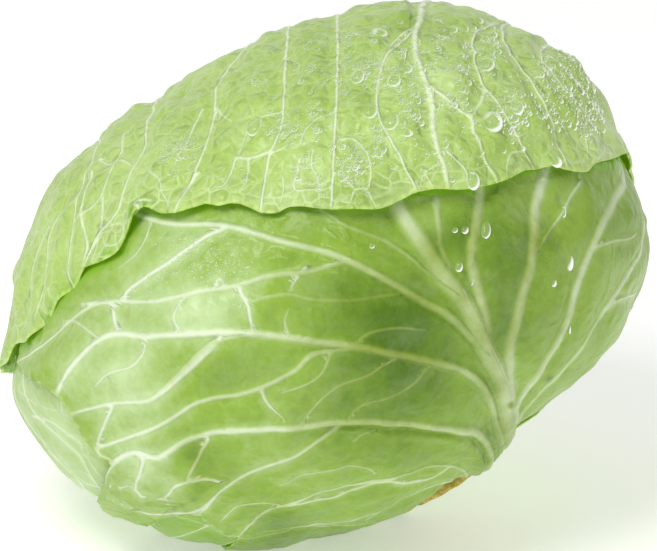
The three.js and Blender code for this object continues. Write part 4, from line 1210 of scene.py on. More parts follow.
    # Painted glow: where the painted shade green lies, and more on inner sides, the blade gives off a
    # little light of its own in place of light coming through the thin blades.
    glow = add(MIX, {0: shade_glow_share, 6: linear("#000000"), 7: linear("#3a5400")}, 2,
               clamp_factor=False, **BLEND)

    # Relief: veins stand out; the skin swells and is finely uneven.
    height = add(RANGE, {0: across, 1: 1.8, 2: 0.0, 4: tone}, 0, **EASED)
    height = add(MATH, {0: height, 1: 0.45 * MM}, 0, operation="MULTIPLY")
    swollen = add(RANGE, {0: cells, 1: 0.0, 2: 0.5}, 0, **EASED)
    skin = add(NOISE, {0: place, "Scale": 1 / (3.2 * MM), "Detail": 3.0, "Roughness": 0.6}, 0)
    pores = add(NOISE, {0: place, "Scale": 1 / (0.7 * MM)}, 0)
    folds = add(NOISE, {0: place, "Scale": 1 / (12 * MM), "Detail": 1.0}, 0)
    for part, tall in ((net_line, 0.12), (swollen, crinkle), (skin, 0.3), (pores, 0.04),
                       (folds, crinkle * 4)):
        height = add(MATH, {0: part, 1: tall * MM, 2: height}, 0, operation="MULTIPLY_ADD")
    bump = add("ShaderNodeBump", {"Distance": 1.0, "Height": height}, 0)
    shader = add("ShaderNodeBsdfPrincipled", {
        "Base Color": colour, "Roughness": gloss, "IOR": 1.4, "Normal": bump,
        "Specular IOR Level": 0.4, "Subsurface Weight": 0.15,
        "Emission Color": glow, "Emission Strength": 1.0,
        "Subsurface Radius": (1.0, 1.0, 0.3), "Subsurface Scale": 1.8 * MM,
    }, 0)
    add("ShaderNodeOutputMaterial", {0: shader})
    return material


def stem_material():
    """Cut cabbage stem: pale fibrous pith that has dried ochre, with browner fibres."""
    material, add = new_material("dried cut stem")
    place = add("ShaderNodeTexCoord", out="Object")
    blots = add(NOISE, {0: place, "Scale": 1 / (6 * MM), "Detail": 4.0, "Roughness": 0.65}, 0)
    fibres = add(NOISE, {0: place, "Scale": 1 / (0.9 * MM), "Roughness": 0.6}, 0)
    pale = add(RANGE, {0: blots, 1: 0.38, 2: 0.66}, 0, **EASED)
    dark = add(RANGE, {0: fibres, 1: 0.5, 2: 0.8, 4: 0.5}, 0, **EASED)
    colour = add(MIX, {0: pale, 6: linear("#a08a24"), 7: linear("#e2cf7a")}, 2, **BLEND)
    colour = add(MIX, {0: dark, 6: colour, 7: linear("#7d641c")}, 2, **BLEND)
    height = add(MATH, {0: fibres, 1: 0.25 * MM}, 0, operation="MULTIPLY")
    height = add(MATH, {0: blots, 1: 0.8 * MM, 2: height}, 0, operation="MULTIPLY_ADD")
    bump = add("ShaderNodeBump", {"Distance": 1.0, "Height": height}, 0)
    shader = add("ShaderNodeBsdfPrincipled", {
        "Base Color": colour, "Roughness": 0.75, "IOR": 1.45, "Normal": bump,
        "Subsurface Weight": 0.1, "Subsurface Radius": (1.0, 0.8, 0.4), "Subsurface Scale": 1.5 * MM,
    }, 0)
    add("ShaderNodeOutputMaterial", {0: shader})
    return material


def water_material():
    """Clear water on a waxy skin, with painted light: a drop's side away from the key light is painted
    whiter, more opaque and glowing, where a real drop would gather light.
    """
    material, add = new_material("water")
    light = unit(to_row(KEY_PLACE) - to_row((0, 0, 0)))
    normal = add("ShaderNodeNewGeometry", out="Normal")
    toward = add(VECTOR, {0: normal, 1: tuple(light)}, "Value", operation="DOT_PRODUCT")
    outward = add(MATH, {0: add("ShaderNodeNewGeometry", out="Backfacing"), 1: -2.0, 2: 1.0}, 0,
                  operation="MULTIPLY_ADD")
    toward = add(MATH, {0: toward, 1: outward}, 0, operation="MULTIPLY")
    # Painted light: the share of each drop that stands in for the light it would gather.
    painted_caustic = add(RANGE, {0: toward, 1: 0.7, 2: 0.2}, 0, **EASED)
    colour = add(MIX, {0: painted_caustic, 6: linear("#c9e496"), 7: linear("#ffffff")}, 2, **BLEND)
    opaque = add(RANGE, {0: painted_caustic, 3: 0.3, 4: 0.9}, 0)
    caustic_glow = add(MIX, {0: painted_caustic, 6: linear("#000000"), 7: linear("#ffffff")}, 2, **BLEND)
    shader = add("ShaderNodeBsdfPrincipled", {
        "Base Color": colour, "Roughness": 0.03, "IOR": 1.33, "Alpha": opaque,
        "Specular IOR Level": 1.0, "Emission Color": caustic_glow, "Emission Strength": 0.13,
    }, 0)
    add("ShaderNodeOutputMaterial", {0: shader})
    return material


def floor_material():
    """Matt white studio paper."""
    material, add = new_material("white paper")
    place = add("ShaderNodeTexCoord", out="Object")
    grain = add(NOISE, {0: place, "Scale": 1 / (2 * MM)}, 0)
    colour = add(MIX, {0: grain, 6: linear("#f6f6f4"), 7: linear("#fbfbfa")}, 2, **BLEND)
    shader = add("ShaderNodeBsdfPrincipled", {
        "Base Color": colour, "Roughness": 0.9, "Emission Color": linear("#ffffff"),
        "Emission Strength": 0.34,
    }, 0)
    add("ShaderNodeOutputMaterial", {0: shader})
    return material


# ---- the leaves' relief -----------------------------------------------------

PUCKERS = Waves(11, seed=3)
CREASES = Waves(22, seed=6)
SWELLS = Waves(40, seed=5)
FRILLS = Waves(17, seed=8)

VEIN_FOOT = 1.9  # half width of a fine vein's ridge
PILLOW = 7  # distance from a vein at which the blade has swollen in full
FLAT_EDGE = 9  # how far in from its edge the blade swells less
FRILL_REACH = 12  # how far in from its edge it is frilled
FRILL_START = (0.35, 0.6)  # share of the way from the stem over which the frills come in
CALM_RISE = 0.3  # angle over which the unevenness rises from the stem
UNEVEN = 0.4  # share of the puckers that has nothing to do with the veins
PRESSED = 0.3  # share of a ridge that is left under another leaf
INNER_SHADE_GLOW = 0.85  # how far a leaf's inner side has the painted shade green and the painted glow


def under_cap(points):
    """1 where the cap leaf lies over a point of the broad face, 0 where the face is open."""
    outside, inside = -8, 14
    places = in_view(points)
    edge = np.interp(places[..., 0], *CAP_MARGIN.T)
    return smoothstep(outside, inside, edge - places[..., 1])


def beside_margin(points):
    """Distance in view steps from the cap leaf's hanging edge, up to FAR."""
    places = in_view(points).reshape(-1, 2)
    nearest = np.full(len(places), FAR)
    for a, b in zip(CAP_MARGIN, CAP_MARGIN[1:]):
        along = b - a
        share = np.clip((places - a) @ along / (along @ along), 0, 1)
        nearest = np.minimum(nearest, lengths_of(places - a - along * share[:, None]))
    return nearest.reshape(points.shape[:-1])


def leaf_piece(name, leaf, look, sizes, covered, shade_green, material):
    """Raise a leaf's relief on its fine grid, and keep its veins and its shade as attributes.

    look is what sets this leaf apart; covered is how far each vertex lies under another leaf, and
    shade_green how far it has the painted shade green, which also sets its painted glow.
    """
    points = leaf.base_points
    strands = leaf_strands(leaf, look["strands"], sizes.side_vein_gap / MM, look["seed"])
    signed, away, tone = strand_field(points, strands)
    open_share = 1 - covered
    fine = sizes.vein / MM * tone * np.clip(1 - (away / VEIN_FOOT) ** 2, 0, 1) ** 2
    pucker = sizes.pucker / MM
    puckers = pucker * look["pucker"]
    pillow = puckers * (smoothstep(0, PILLOW, away) - 0.5) * smoothstep(0, FLAT_EDGE, leaf.rim_away)
    uneven = puckers * UNEVEN * (PUCKERS(points) + CREASES(points)) + pucker * SWELLS(points)
    calm = smoothstep(BASE_REACH, BASE_REACH + CALM_RISE, angle_from(leaf.directions, STEM_AXIS))
    lift = leaf.lift * np.maximum(0, 1 - leaf.to_edge / LIFT_REACH) ** 2
    outer_part = smoothstep(*FRILL_START, leaf.t)[:, None]
    edge_part = smoothstep(FRILL_REACH, 0, leaf.rim_away)
    frills = look["frill"] * (FRILLS(points) + 0.5) * edge_part * outer_part
    hills = patches_at(points, look["hills"]) + creases_at(points, look["folds"], leaf.depth)
    blade = leaf.bulge + lift + (frills + hills) * open_share + (uneven + pillow) * calm * open_share
    ridges = np.maximum(ridge_height(leaf), fine * calm)
    shell, faces, sources = leaf_shell(leaf, blade + ridges * between(PRESSED, 1, open_share), blade)
    # Its shade: the leaf's own tone, with painted shade from the shade patches.
    shade = look["shade"] + patches_at(points, look["shades"])
    veins = np.stack((signed, np.abs(signed), tone), -1).reshape(-1, 3)[sources]
    blades = np.stack((shade, leaf.rim_away, away), -1).reshape(-1, 3)[sources]
    outer_count = points.shape[0] * points.shape[1]
    # Share of the painted shade green and painted glow: more on inner sides, and more again at the
    # inner-glow patches.
    shade_glow_share = shade_green.reshape(-1)[sources]
    inner_glow = patches_at(points, look["inner_glow"]).reshape(-1)[sources[outer_count:]]
    shade_glow_share[outer_count:] = INNER_SHADE_GLOW + inner_glow
    kept = {"veins": veins, "blade": blades, "shade_green": shade_glow_share}
    piece = mesh_object(name, shell, faces, kept, outer_count)
    settle(piece, material, (name.replace("fine_", ""),))


# ---- stem and heart ---------------------------------------------------------


def heart_piece(material):
    """The tight inner leaves: a wrinkled body with curved veins of its own on it."""
    rings, sides, wave_radius = 119, 200, 90
    polar = np.linspace(0, math.pi, rings + 2)[1:-1]
    turn = np.linspace(0, 2 * math.pi, sides, endpoint=False)
    polar, turn = np.meshgrid(polar, turn, indexing="ij")
    ways = np.stack((np.sin(polar) * np.cos(turn), np.sin(polar) * np.sin(turn), np.cos(polar)), -1)
    poles = np.array(((0, 0, 1.0), (0, 0, -1.0)))
    ways = np.vstack((ways.reshape(-1, 3), poles))
    raised = 0.25 * PUCKERS(ways * wave_radius) + 0.2 * SWELLS(ways * wave_radius)
    clearance, seat_depth = 0.5, 3
    radius = layer_radius(ways, HEART_DEPTH, raised - clearance)
    around_stem = angle_from(ways, STEM_AXIS)
    points = ways * (radius - smoothstep(0.27, 0.2, around_stem) * seat_depth)[:, None]
    faces = ring_faces(rings, sides, 0, len(points) - 2, len(points) - 1)
    # Its own veins run in curves round the stem.
    veins_around, vein_gap, twist, tone, shade, inside = 4, 6, 3, 0.5, 0.2, 9.0
    turn = np.arctan2(ways @ STEM_FRONT, ways @ STEM_SIDE)
    away = np.abs(np.sin(around_stem * twist + veins_around * turn)) * vein_gap
    veins = np.stack((away, away, np.full(len(ways), tone)), -1)
    blades = np.stack((np.full(len(ways), shade), np.full(len(ways), inside), away), -1)
    kept = {"veins": veins, "blade": blades, "shade_green": np.zeros(len(ways))}
    settle(mesh_object("fine_heart", points, faces, kept), material, ("heart",))


def stem_piece(material):
    """The cut stem: a peg with an uneven, slightly sunken cut face and a bevelled rim."""
    sides = 64
    # Radius and height of each ring, from the root in the heart to the middle of the cut.
    profile = (
        (STEM_TIP_RADIUS * 0.6, STEM_ROOT), (STEM_TIP_RADIUS, STEM_ROOT + 0.6),
        (STEM_RADIUS, STEM_ROOT + 16), (STEM_RADIUS, STEM_END - 6), (STEM_RADIUS, STEM_END - 2.4),
        (STEM_RADIUS - 0.3, STEM_END - 0.8), (STEM_RADIUS - CUT_BEVEL, STEM_END),
        (STEM_RADIUS - 2.4, STEM_END - 0.1), (9.6, STEM_END - 0.4), (7.4, STEM_END - 0.7),
        (5.0, STEM_END - 0.9), (2.5, STEM_END - 1.0),
    )
    around = circle(STEM_SIDE, STEM_FRONT, sides)
    dents, cut_dent, side_dent = Waves(9, seed=21), 0.35, 0.25
    points = []
    for radius, height in profile:
        ring = around * radius + STEM_AXIS * height
        uneven = dents(ring)[:, None] - 1
        cut = smoothstep(STEM_END - 3, STEM_END - 0.5, height)
        points.append(ring + STEM_AXIS * (cut_dent * uneven * cut) + around * (side_dent * uneven))
    points = np.vstack(points + [STEM_AXIS * STEM_ROOT, STEM_AXIS * profile[-1][1]])
    faces = ring_faces(len(profile), sides, 0, len(points) - 2, len(points) - 1)
    turned = [[face[0], *face[:0:-1]] for face in faces]
    settle(mesh_object("fine_stem", points, turned), material, ("stem",))


# ---- water ------------------------------------------------------------------

# The rings of a drop from its top down: radius and level, as shares of its half width and height.
DROP_SIDES = 20
DROP_RINGS = ((0.35, 0.97), (0.62, 0.84), (0.82, 0.62), (0.94, 0.36), (1.0, 0.05), (0.97, -0.18))
DROP_SAG = 0.10
DROP_FOOT = 0.2
# A fine drop has few faces, because it is repeated so often.
DEW_SIDES = 8
DEW_RINGS = ((0.62, 0.42), (1.0, 0.0))
DEW_TOP = 0.58
DEW_FOOT = 0.15


def drop_shape(place, out, across, up, height):
    """Points and faces of a drop: a low dome on a leaf, fuller at its lower end."""
    points = [place + out * height]
    for radius, level in DROP_RINGS:
        ring = circle(across, up, DROP_SIDES) * radius
        points.extend(place + ring - DROP_SAG * up * level + out * height * level)
    points.append(place - out * height * DROP_FOOT)
    return points, ring_faces(len(DROP_RINGS), DROP_SIDES, 1, 0, len(points) - 1)


def single_drops(leaf_object, drops, flatness):
    """Every single drop of one leaf, where a line of sight to its place in the view meets the leaf."""
    mesh, least_slant = leaf_object.data, 0.35
    skin = BVHTree.FromPolygons(
        [v.co.copy() for v in mesh.vertices], [list(p.vertices) for p in mesh.polygons])
    eye = Vector(to_row((0, 0, VIEW_DISTANCE)))
    axes = [(to_row(v) - to_row((0, 0, 0))) / MM for v in ((1, 0, 0), (0, 1, 0))]
    points, faces = [], []
    for right, down, width, tall in drops:
        aim = (right - VIEW_CENTRE[0]) * VIEW_STEP, (VIEW_CENTRE[1] - down) * VIEW_STEP, 0
        aim = Vector(to_row(aim))
        place, out, _, _ = skin.ray_cast(eye, (aim - eye).normalized())
        if place is None:
            raise RuntimeError(f"no leaf lies under the drop at {right}, {down}")
        out = np.array(out)
        across = axes[0] - out * (axes[0] @ out)
        across = across / np.linalg.norm(across)
        up = np.cross(out, across)
        slant = max(abs(up @ axes[1]), least_slant)
        half_width, half_tall = width / 2 * VIEW_STEP * MM, tall / 2 * VIEW_STEP * MM / slant
        height = flatness * min(half_width, half_tall)
        made, sides = drop_shape(np.array(place), out, across * half_width, up * half_tall, height)
        faces.extend([[i + len(points) for i in f] for f in sides])
        points.extend(made)
    return points, faces


def dewy_skin(leaf_object, zones):
    """A copy of the leaf's skin where dew lies, each point with how thickly it lies there."""
    soaked, dry, driest, bare_strip = 0.6, 1.15, 0.02, 4
    source = leaf_object.data
    count = len(source.vertices)
    places = np.empty(count * 3)
    source.vertices.foreach_get("co", places)
    head = from_row(places.reshape(-1, 3))
    view = in_view(head)
    wet = np.zeros(count)
    for right, down, half_width, half_tall, thickness in zones:
        away = np.hypot((view[:, 0] - right) / half_width, (view[:, 1] - down) / half_tall)
        wet = np.maximum(wet, thickness * smoothstep(dry, soaked, away))
    wet[source["outer_count"]:] = 0
    wet *= head[:, 2] > 0
    if source.name == "fine_leaf_front":
        wet *= beside_margin(head) * (1 - under_cap(head)) > bare_strip
    keep = [list(p.vertices) for p in source.polygons if wet[list(p.vertices)].min() > driest]
    used = sorted({i for face in keep for i in face})
    renamed = {old: new for new, old in enumerate(used)}
    mesh = bpy.data.meshes.new("dewy skin")
    mesh.from_pydata([source.vertices[i].co for i in used], [],
                     [[renamed[i] for i in face] for face in keep])
    keep_values(mesh, "wet", wet[used])
    return linked("dewy skin", mesh)


def drop_template():
    """A fine drop of unit radius, to be repeated."""
    ring = circle(np.array((1, 0, 0)), np.array((0, 1, 0)), DEW_SIDES)
    points = [(0, 0, DEW_TOP)]
    for radius, level in DEW_RINGS:
        points.extend((ring * radius + (0, 0, level)).tolist())
    points.append((0, 0, -DEW_FOOT))
    mesh = bpy.data.meshes.new("dew drop")
    mesh.from_pydata(points, [], ring_faces(len(DEW_RINGS), DEW_SIDES, 1, 0, len(points) - 1))
    mesh.shade_smooth()
    return linked("dew drop", mesh)


def dew_tree(material):
    """Geometry Nodes: drops of mixed sizes, spread over a skin as thickly as its "wet" says."""
    tree = bpy.data.node_groups.new("dew on a leaf", "GeometryNodeTree")
    interface = tree.interface
    interface.new_socket("Skin", in_out="INPUT", socket_type="NodeSocketGeometry")
    for label, kind, value in (
            ("Drops per Square Metre", "NodeSocketFloat", 0.0), ("Smallest Drop", "NodeSocketFloat", 0.0),
            ("Largest Drop", "NodeSocketFloat", 0.0), ("Seed", "NodeSocketInt", 0),
            ("Drop", "NodeSocketObject", None)):
        socket = interface.new_socket(label, in_out="INPUT", socket_type=kind)
        if value is not None:
            socket.default_value = value
    interface.new_socket("Dew", in_out="OUTPUT", socket_type="NodeSocketGeometry")
    entry = node(tree, "NodeGroupInput").outputs
    wet = node(tree, "GeometryNodeInputNamedAttribute", {"Name": "wet"}, data_type="FLOAT")
    spread = node(tree, "GeometryNodeDistributePointsOnFaces", {
        "Mesh": entry["Skin"], "Distance Min": entry["Smallest Drop"],
        "Density Max": entry["Drops per Square Metre"],
        "Density Factor": wet.outputs["Attribute"], "Seed": entry["Seed"]},
        distribute_method="POISSON")
    draw = node(tree, "FunctionNodeRandomValue", {"Seed": entry["Seed"]}, data_type="FLOAT")
    small = node(tree, MATH, {0: draw.outputs["Value"], 1: 3.2}, 0, operation="POWER")
    size = node(tree, RANGE, {
        0: small, 3: entry["Smallest Drop"], 4: entry["Largest Drop"]}, 0)
    half = node(tree, MATH, {0: size, 1: 0.5}, 0, operation="MULTIPLY")
    drop = node(tree, "GeometryNodeObjectInfo", {"Object": entry["Drop"]}).outputs["Geometry"]
    placed = node(tree, "GeometryNodeInstanceOnPoints", {
        "Points": spread.outputs["Points"], "Instance": drop,
        "Rotation": spread.outputs["Rotation"], "Scale": half}).outputs["Instances"]
    real = node(tree, "GeometryNodeRealizeInstances", {"Geometry": placed}).outputs["Geometry"]
    dressed = node(tree, "GeometryNodeSetMaterial", {
        "Geometry": real, "Material": material}).outputs["Geometry"]
    node(tree, "NodeGroupOutput", {"Dew": dressed})
    return tree


def dew_on(name, leaf_object, zones, water, smallest, largest):
    """Fine dew on a leaf, as a plain mesh."""
    material = shared("water", water_material)
    skin = dewy_skin(leaf_object, zones)
    template = drop_template()
    tree = dew_tree(material)
    modifier = skin.modifiers.new("dew", "NODES")
    modifier.node_group = tree
    sockets = {s.name: s.identifier for s in tree.interface.items_tree if s.in_out == "INPUT"}
    modifier[sockets["Drops per Square Metre"]] = water.dew_count
    modifier[sockets["Smallest Drop"]] = smallest
    modifier[sockets["Largest Drop"]] = largest
    modifier[sockets["Seed"]] = water.dew_seed
    modifier[sockets["Drop"]] = template
    depsgraph = bpy.context.evaluated_depsgraph_get()
    mesh = bpy.data.meshes.new_from_object(skin.evaluated_get(depsgraph))
    mesh.name = name
    bpy.data.objects.remove(skin)
    bpy.data.objects.remove(template)
    mesh.shade_smooth()
    settle(linked(name, mesh), material)


# ---- what a user can change -------------------------------------------------


def colour_of(label, text, code):
    """A colour property, set to a hex value."""
    return bpy.props.FloatVectorProperty(
        name=label, description=text, subtype="COLOR", size=4, min=0, max=1, default=linear(code))


def size_of(label, text, millimetres):
    """A length property."""
    return bpy.props.FloatProperty(
        name=label, description=text, subtype="DISTANCE", unit="LENGTH", default=millimetres * MM)


class CabbageLeafSizes(bpy.types.PropertyGroup):
    """Sizes of the leaves' relief."""

    vein: size_of("Fine vein height", "How far the fine veins stand out", 0.7)
    pucker: size_of("Pucker depth", "How far the blade sinks between its veins", 0.5)
    frill: size_of("Edge frill", "How far the cap leaf's edge waves in and out", 0.7)
    side_vein_gap: size_of("Side vein gap", "Space between side veins where a leaf is turned away", 24)


class CabbageLeafColours(bpy.types.PropertyGroup):
    """Colours of the leaves and of the cut stem."""

    cap_deep: colour_of("Cap deep green", "Deepest green of the cap leaf", "#7d9f35")
    cap_middle: colour_of("Cap green", "Usual green of the cap leaf", "#a9c863")
    cap_pale: colour_of("Cap pale green", "Palest green of the cap leaf", "#c3dc90")
    cap_vein: colour_of("Cap vein", "Colour of the cap leaf's veins", "#e2f0c8")
    front_deep: colour_of("Front deep green", "Deepest green of the front leaf", "#4f7405")
    front_middle: colour_of("Front green", "Usual green of the front leaf", "#8fb13f")
    front_pale: colour_of("Front pale green", "Palest green of the front leaf", "#c9e0a8")
    front_vein: colour_of("Front vein", "Colour of the front leaf's palest veins", "#e6f1d6")
    front_stalk: colour_of("Front stalk", "Colour of the front leaf's thick stalk", "#a0b052")
    # Green of the painted shade under and beside the cap leaf's edge; it also colours the leaves' inner
    # sides.
    shade_green: colour_of("Sheltered green", "Green of leaf that another leaf shelters", "#6f9f0c")
    edge: colour_of("Leaf edge", "Colour of the leaves' thin edges", "#c6dc7c")


class CabbageWater(bpy.types.PropertyGroup):
    """Drops of water on the leaves."""

    dew_count: bpy.props.FloatProperty(
        name="Dew per square metre", description="Fine drops on a square metre of the wettest leaf",
        default=900000, min=0)
    smallest_drop: size_of("Smallest drop", "Width of the finest drops of dew", 0.7)
    largest_drop: size_of("Largest drop", "Width of the largest drops of dew", 2.6)
    dew_seed: bpy.props.IntProperty(name="Dew seed", description="Changes where dew lies", default=4)
    flatness: bpy.props.FloatProperty(
        name="Drop height", description="Height of a single drop as a share of its half width",
        default=0.75, min=0.1, max=1, subtype="FACTOR")


class CabbageStage(bpy.types.PropertyGroup):
    """Floor, light and camera."""

    key_power: bpy.props.FloatProperty(
        name="Key light", description="Power of the large soft light on the upper left",
        default=6.7, min=0, unit="POWER")
    fill_power: bpy.props.FloatProperty(
        name="Fill light", description="Power of the weak light on the right", default=1.0, min=0,
        unit="POWER")
    sky: bpy.props.FloatProperty(
        name="Room light", description="Strength of the even light from all round", default=0.5, min=0)


def cap_material(colours):
    """The outermost leaf's: waxy, with a close and clear net."""
    return leaf_material(
        "waxy outer leaf", (colours.cap_pale, colours.cap_middle, colours.cap_deep),
        (colours.cap_vein, colours.cap_vein), colours.edge, colours.shade_green, bloom=0.5,
        net_mm=5.5, net=0.42, crinkle=0.8)


def front_material(colours):
    """The other leaves': firmer, with pale veins and a faint net."""
    return shared("firm wrapper leaf", lambda: leaf_material(
        "firm wrapper leaf", (colours.front_pale, colours.front_middle, colours.front_deep),
        (colours.front_vein, colours.front_stalk), colours.edge, colours.shade_green, bloom=0.25,
        net_mm=6.5, net=0.12, crinkle=0.45))


# ---- operators --------------------------------------------------------------


class CABBAGE_OT_cap_leaf(bpy.types.Operator):
    """Build the leaf that comes over the back and hangs over the top of the broad face"""

    bl_idname = "cabbage.cap_leaf"
    bl_label = "Build the cap leaf"

    def execute(self, context):
        sizes, colours = context.scene.cabbage_leaves, context.scene.cabbage_colours
        leaf = Leaf(CAP_VEINS, CAP_DEPTH, base=(-52, -128), rows=297, columns=297, bulge=0.5, crowd=0.4)
        look = {"strands": CAP_STRANDS, "seed": 31, "shade": 0.46, "shades": CAP_SHADES,
                "pucker": 3.0, "frill": sizes.frill / MM, "hills": CAP_HILLS, "folds": (),
                "inner_glow": CAP_INNER_GLOW}
        # Painted shade green and painted glow along the cap leaf's rolled edge, in its pocket and at its
        # tip.
        shade_green = patches_at(leaf.base_points, CAP_SHADE_GREEN)
        leaf_piece("fine_leaf_cap", leaf, look, sizes, np.zeros(shade_green.shape), shade_green,
                   cap_material(colours))
        return {"FINISHED"}


class CABBAGE_OT_front_leaf(bpy.types.Operator):
    """Build the large front leaf with its thick stalk and long side veins"""

    bl_idname = "cabbage.front_leaf"
    bl_label = "Build the front leaf"

    def execute(self, context):
        sizes, colours = context.scene.cabbage_leaves, context.scene.cabbage_colours
        leaf = Leaf(FRONT_VEINS, FRONT_DEPTH, base=(92, -35), rows=270, columns=324, bulge=0.8)
        look = {"strands": FRONT_STRANDS, "seed": 32, "shade": 0.5, "shades": FRONT_SHADES,
                "pucker": 1.7, "frill": 0.3, "hills": FRONT_HILLS, "folds": FRONT_FOLDS,
                "inner_glow": FRONT_INNER_GLOW}
        points = leaf.base_points
        covered = under_cap(points)
        # The painted shade green lies under the cap leaf and goes on a little way past its edge, farther at
        # the left, as painted shade where that edge casts its shadow.
        reach = 6 + 6 * smoothstep(190, 110, in_view(points)[..., 0])
        shade_green = np.maximum(covered, smoothstep(1, 0.1, beside_margin(points) / reach))
        shade_green = shade_green * (points[..., 2] > 0)
        leaf_piece("fine_leaf_front", leaf, look, sizes, covered, shade_green, front_material(colours))
        return {"FINISHED"}


class CABBAGE_OT_side_leaves(bpy.types.Operator):
    """Build the two leaves that show low on the left and along the bottom"""

    bl_idname = "cabbage.side_leaves"
    bl_label = "Build the side leaves"

    def execute(self, context):
        sizes, colours = context.scene.cabbage_leaves, context.scene.cabbage_colours
        half_covered = 0.5
        # green is each leaf's share of the painted shade green and of the painted glow.
        for name, guides, depth, base, bulge, drawn, shades, hills, shade, green in (
                ("fine_leaf_left", LEFT_VEINS, LEFT_DEPTH, (215, 150), 0.4, LEFT_STRANDS,
                 LEFT_SHADES, (), 0.3, 0.0),
                ("fine_leaf_under", UNDER_VEINS, UNDER_DEPTH, (140, 60), 0.0, UNDER_STRANDS,
                 (), UNDER_HILLS, 0.5, 0.35)):
            leaf = Leaf(guides, depth, base, rows=150, columns=120, bulge=bulge)
            look = {"strands": drawn, "seed": 33, "shade": shade, "shades": shades,
                    "pucker": 1.2, "frill": 0.1, "hills": hills, "folds": (), "inner_glow": ()}
            flat = np.zeros(leaf.directions.shape[:2])
            leaf_piece(name, leaf, look, sizes, flat + half_covered, flat + green,
                       front_material(colours))
        return {"FINISHED"}


class CABBAGE_OT_heart(bpy.types.Operator):
    """Build the tight inner leaves"""

    bl_idname = "cabbage.heart"
    bl_label = "Build the heart"

    def execute(self, context):
        heart_piece(front_material(context.scene.cabbage_colours))
        return {"FINISHED"}


class CABBAGE_OT_stem(bpy.types.Operator):
    """Build the cut stem"""

    bl_idname = "cabbage.stem"
    bl_label = "Build the cut stem"

    def execute(self, context):
        stem_piece(stem_material())
        return {"FINISHED"}


class CABBAGE_OT_water(bpy.types.Operator):
    """Place the drops of water: single ones where they stand, and fine dew between them"""

    bl_idname = "cabbage.water"
    bl_label = "Place the water"

    def execute(self, context):
        water = context.scene.cabbage_water
        objects = bpy.data.objects
        mist_smallest, mist_largest = 0.7, 1.4
        points, faces = [], []
        for name, drops in (("fine_leaf_cap", CAP_DROPS), ("fine_leaf_front", FRONT_DROPS)):
            made, sides = single_drops(objects[name], drops, water.flatness)
            faces.extend([[i + len(points) for i in f] for f in sides])
            points.extend(made)
        mesh = bpy.data.meshes.new("water_drops")
        mesh.from_pydata([tuple(p) for p in points], [], faces)
        mesh.shade_smooth()
        settle(linked("water_drops", mesh), shared("water", water_material))
        dew_on("dew", objects["fine_leaf_cap"], CAP_DEW, water,
               water.smallest_drop, water.largest_drop)
        dew_on("mist", objects["fine_leaf_front"], FRONT_DEW, water,
               water.smallest_drop * mist_smallest, water.smallest_drop * mist_largest)
        return {"FINISHED"}


class CABBAGE_OT_stage(bpy.types.Operator):
    """Set the floor, the light and the camera"""

    bl_idname = "cabbage.stage"
    bl_label = "Set the stage"

    def execute(self, context):
        scene = context.scene
        stage = scene.cabbage_stage
        floor = studio_floor()
        world = bpy.data.worlds.new("soft room")
        world.use_nodes = True
        tree = world.node_tree
        background = tree.nodes["Background"]
        background.inputs["Color"].default_value = linear("#ffffff")
        background.inputs["Strength"].default_value = stage.sky
        paper = node(tree, "ShaderNodeBackground", {"Strength": 1.0})
        seen_straight = node(tree, "ShaderNodeLightPath").outputs["Is Camera Ray"]
        both = node(tree, "ShaderNodeMixShader", {
            0: seen_straight, 1: background.outputs[0], 2: paper.outputs[0]})
        tree.links.new(both.outputs[0], tree.nodes["World Output"].inputs["Surface"])
        scene.world = world
        scene.view_settings.view_transform = "Standard"
        area_light("key", KEY_PLACE, KEY_SIZE, stage.key_power)
        area_light("fill", FILL_PLACE, FILL_SIZE, stage.fill_power)
        lens = bpy.data.cameras.new("camera")
        lens.lens = lens.sensor_width * VIEW_DISTANCE / (VIEW_SIZE[0] * VIEW_STEP)
        lens.clip_end = 20
        camera = linked("camera", lens)
        shift = ((VIEW_SIZE[0] / 2 - VIEW_CENTRE[0]) * VIEW_STEP,
                 (VIEW_CENTRE[1] - VIEW_SIZE[1] / 2) * VIEW_STEP)
        camera.location = Vector(to_row((*shift, VIEW_DISTANCE)))
        camera.rotation_euler = (FACE_TILT, 0, 0)
        scene.camera = camera
        return {"FINISHED"}


def studio_floor():
    """A white sheet that lies flat under the head and rises far behind it."""
    half, depth, rise, lean = 6.0, 5.0, 3.0, 0.3
    mesh = bpy.data.meshes.new("floor")
    mesh.from_pydata(
        [(-half, -depth, 0), (half, -depth, 0), (half, depth, 0), (-half, depth, 0),
         (half, depth + lean, rise), (-half, depth + lean, rise)],
        [], [(0, 1, 2, 3), (3, 2, 4, 5)])
    mesh.materials.append(floor_material())
    return linked("floor", mesh)


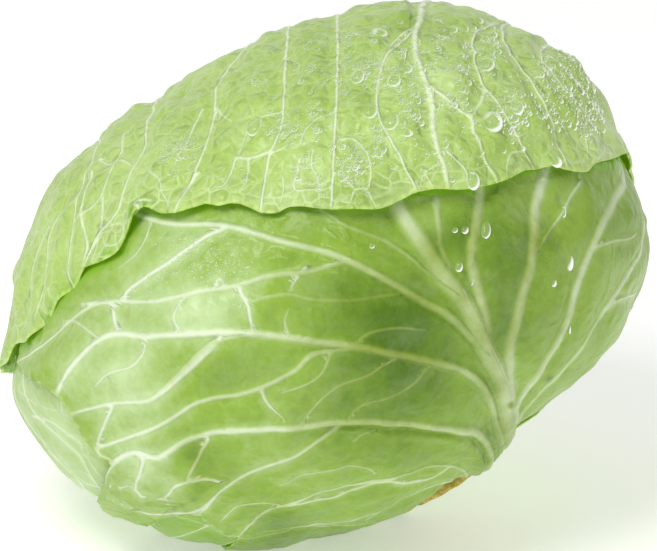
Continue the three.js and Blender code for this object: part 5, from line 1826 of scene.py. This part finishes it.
def area_light(name, place, size, power):
    """A square soft light at a place given in the head's own frame, in mm, turned to the head."""
    data = bpy.data.lights.new(name, "AREA")
    data.energy = power
    data.size = size * MM
    light = linked(name, data)
    light.location = Vector(to_row(place))
    middle = Vector(to_row((0, 0, 0)))
    light.rotation_euler = (middle - light.location).to_track_quat("-Z", "Y").to_euler()


class CABBAGE_PT_panel(bpy.types.Panel):
    """Builds the cabbage head step by step"""

    bl_label = "Cabbage head"
    bl_idname = "CABBAGE_PT_panel"
    bl_space_type = "VIEW_3D"
    bl_region_type = "UI"
    bl_category = "Cabbage"

    def draw(self, context):
        for step in STEPS:
            self.layout.operator(step.bl_idname)
        for group in GROUPS:
            box = self.layout.box()
            settings = getattr(context.scene, group)
            for name in settings.__annotations__:
                box.prop(settings, name)


STEPS = (
    CABBAGE_OT_cap_leaf, CABBAGE_OT_front_leaf, CABBAGE_OT_side_leaves, CABBAGE_OT_heart,
    CABBAGE_OT_stem, CABBAGE_OT_water, CABBAGE_OT_stage,
)
GROUPS = {
    "cabbage_leaves": CabbageLeafSizes, "cabbage_colours": CabbageLeafColours,
    "cabbage_water": CabbageWater, "cabbage_stage": CabbageStage,
}


def register():
    for group in GROUPS.values():
        bpy.utils.register_class(group)
    for step in STEPS:
        bpy.utils.register_class(step)
    bpy.utils.register_class(CABBAGE_PT_panel)
    for name, group in GROUPS.items():
        setattr(bpy.types.Scene, name, bpy.props.PointerProperty(type=group))


def unregister():
    for name in GROUPS:
        delattr(bpy.types.Scene, name)
    bpy.utils.unregister_class(CABBAGE_PT_panel)
    for step in reversed(STEPS):
        bpy.utils.unregister_class(step)
    for group in reversed(list(GROUPS.values())):
        bpy.utils.unregister_class(group)


def main():
    register()
    bpy.ops.cabbage.cap_leaf()
    bpy.ops.cabbage.front_leaf()
    bpy.ops.cabbage.side_leaves()
    bpy.ops.cabbage.heart()
    bpy.ops.cabbage.stem()
    bpy.ops.cabbage.water()
    bpy.ops.cabbage.stage()


if __name__ == "__main__":
    main()
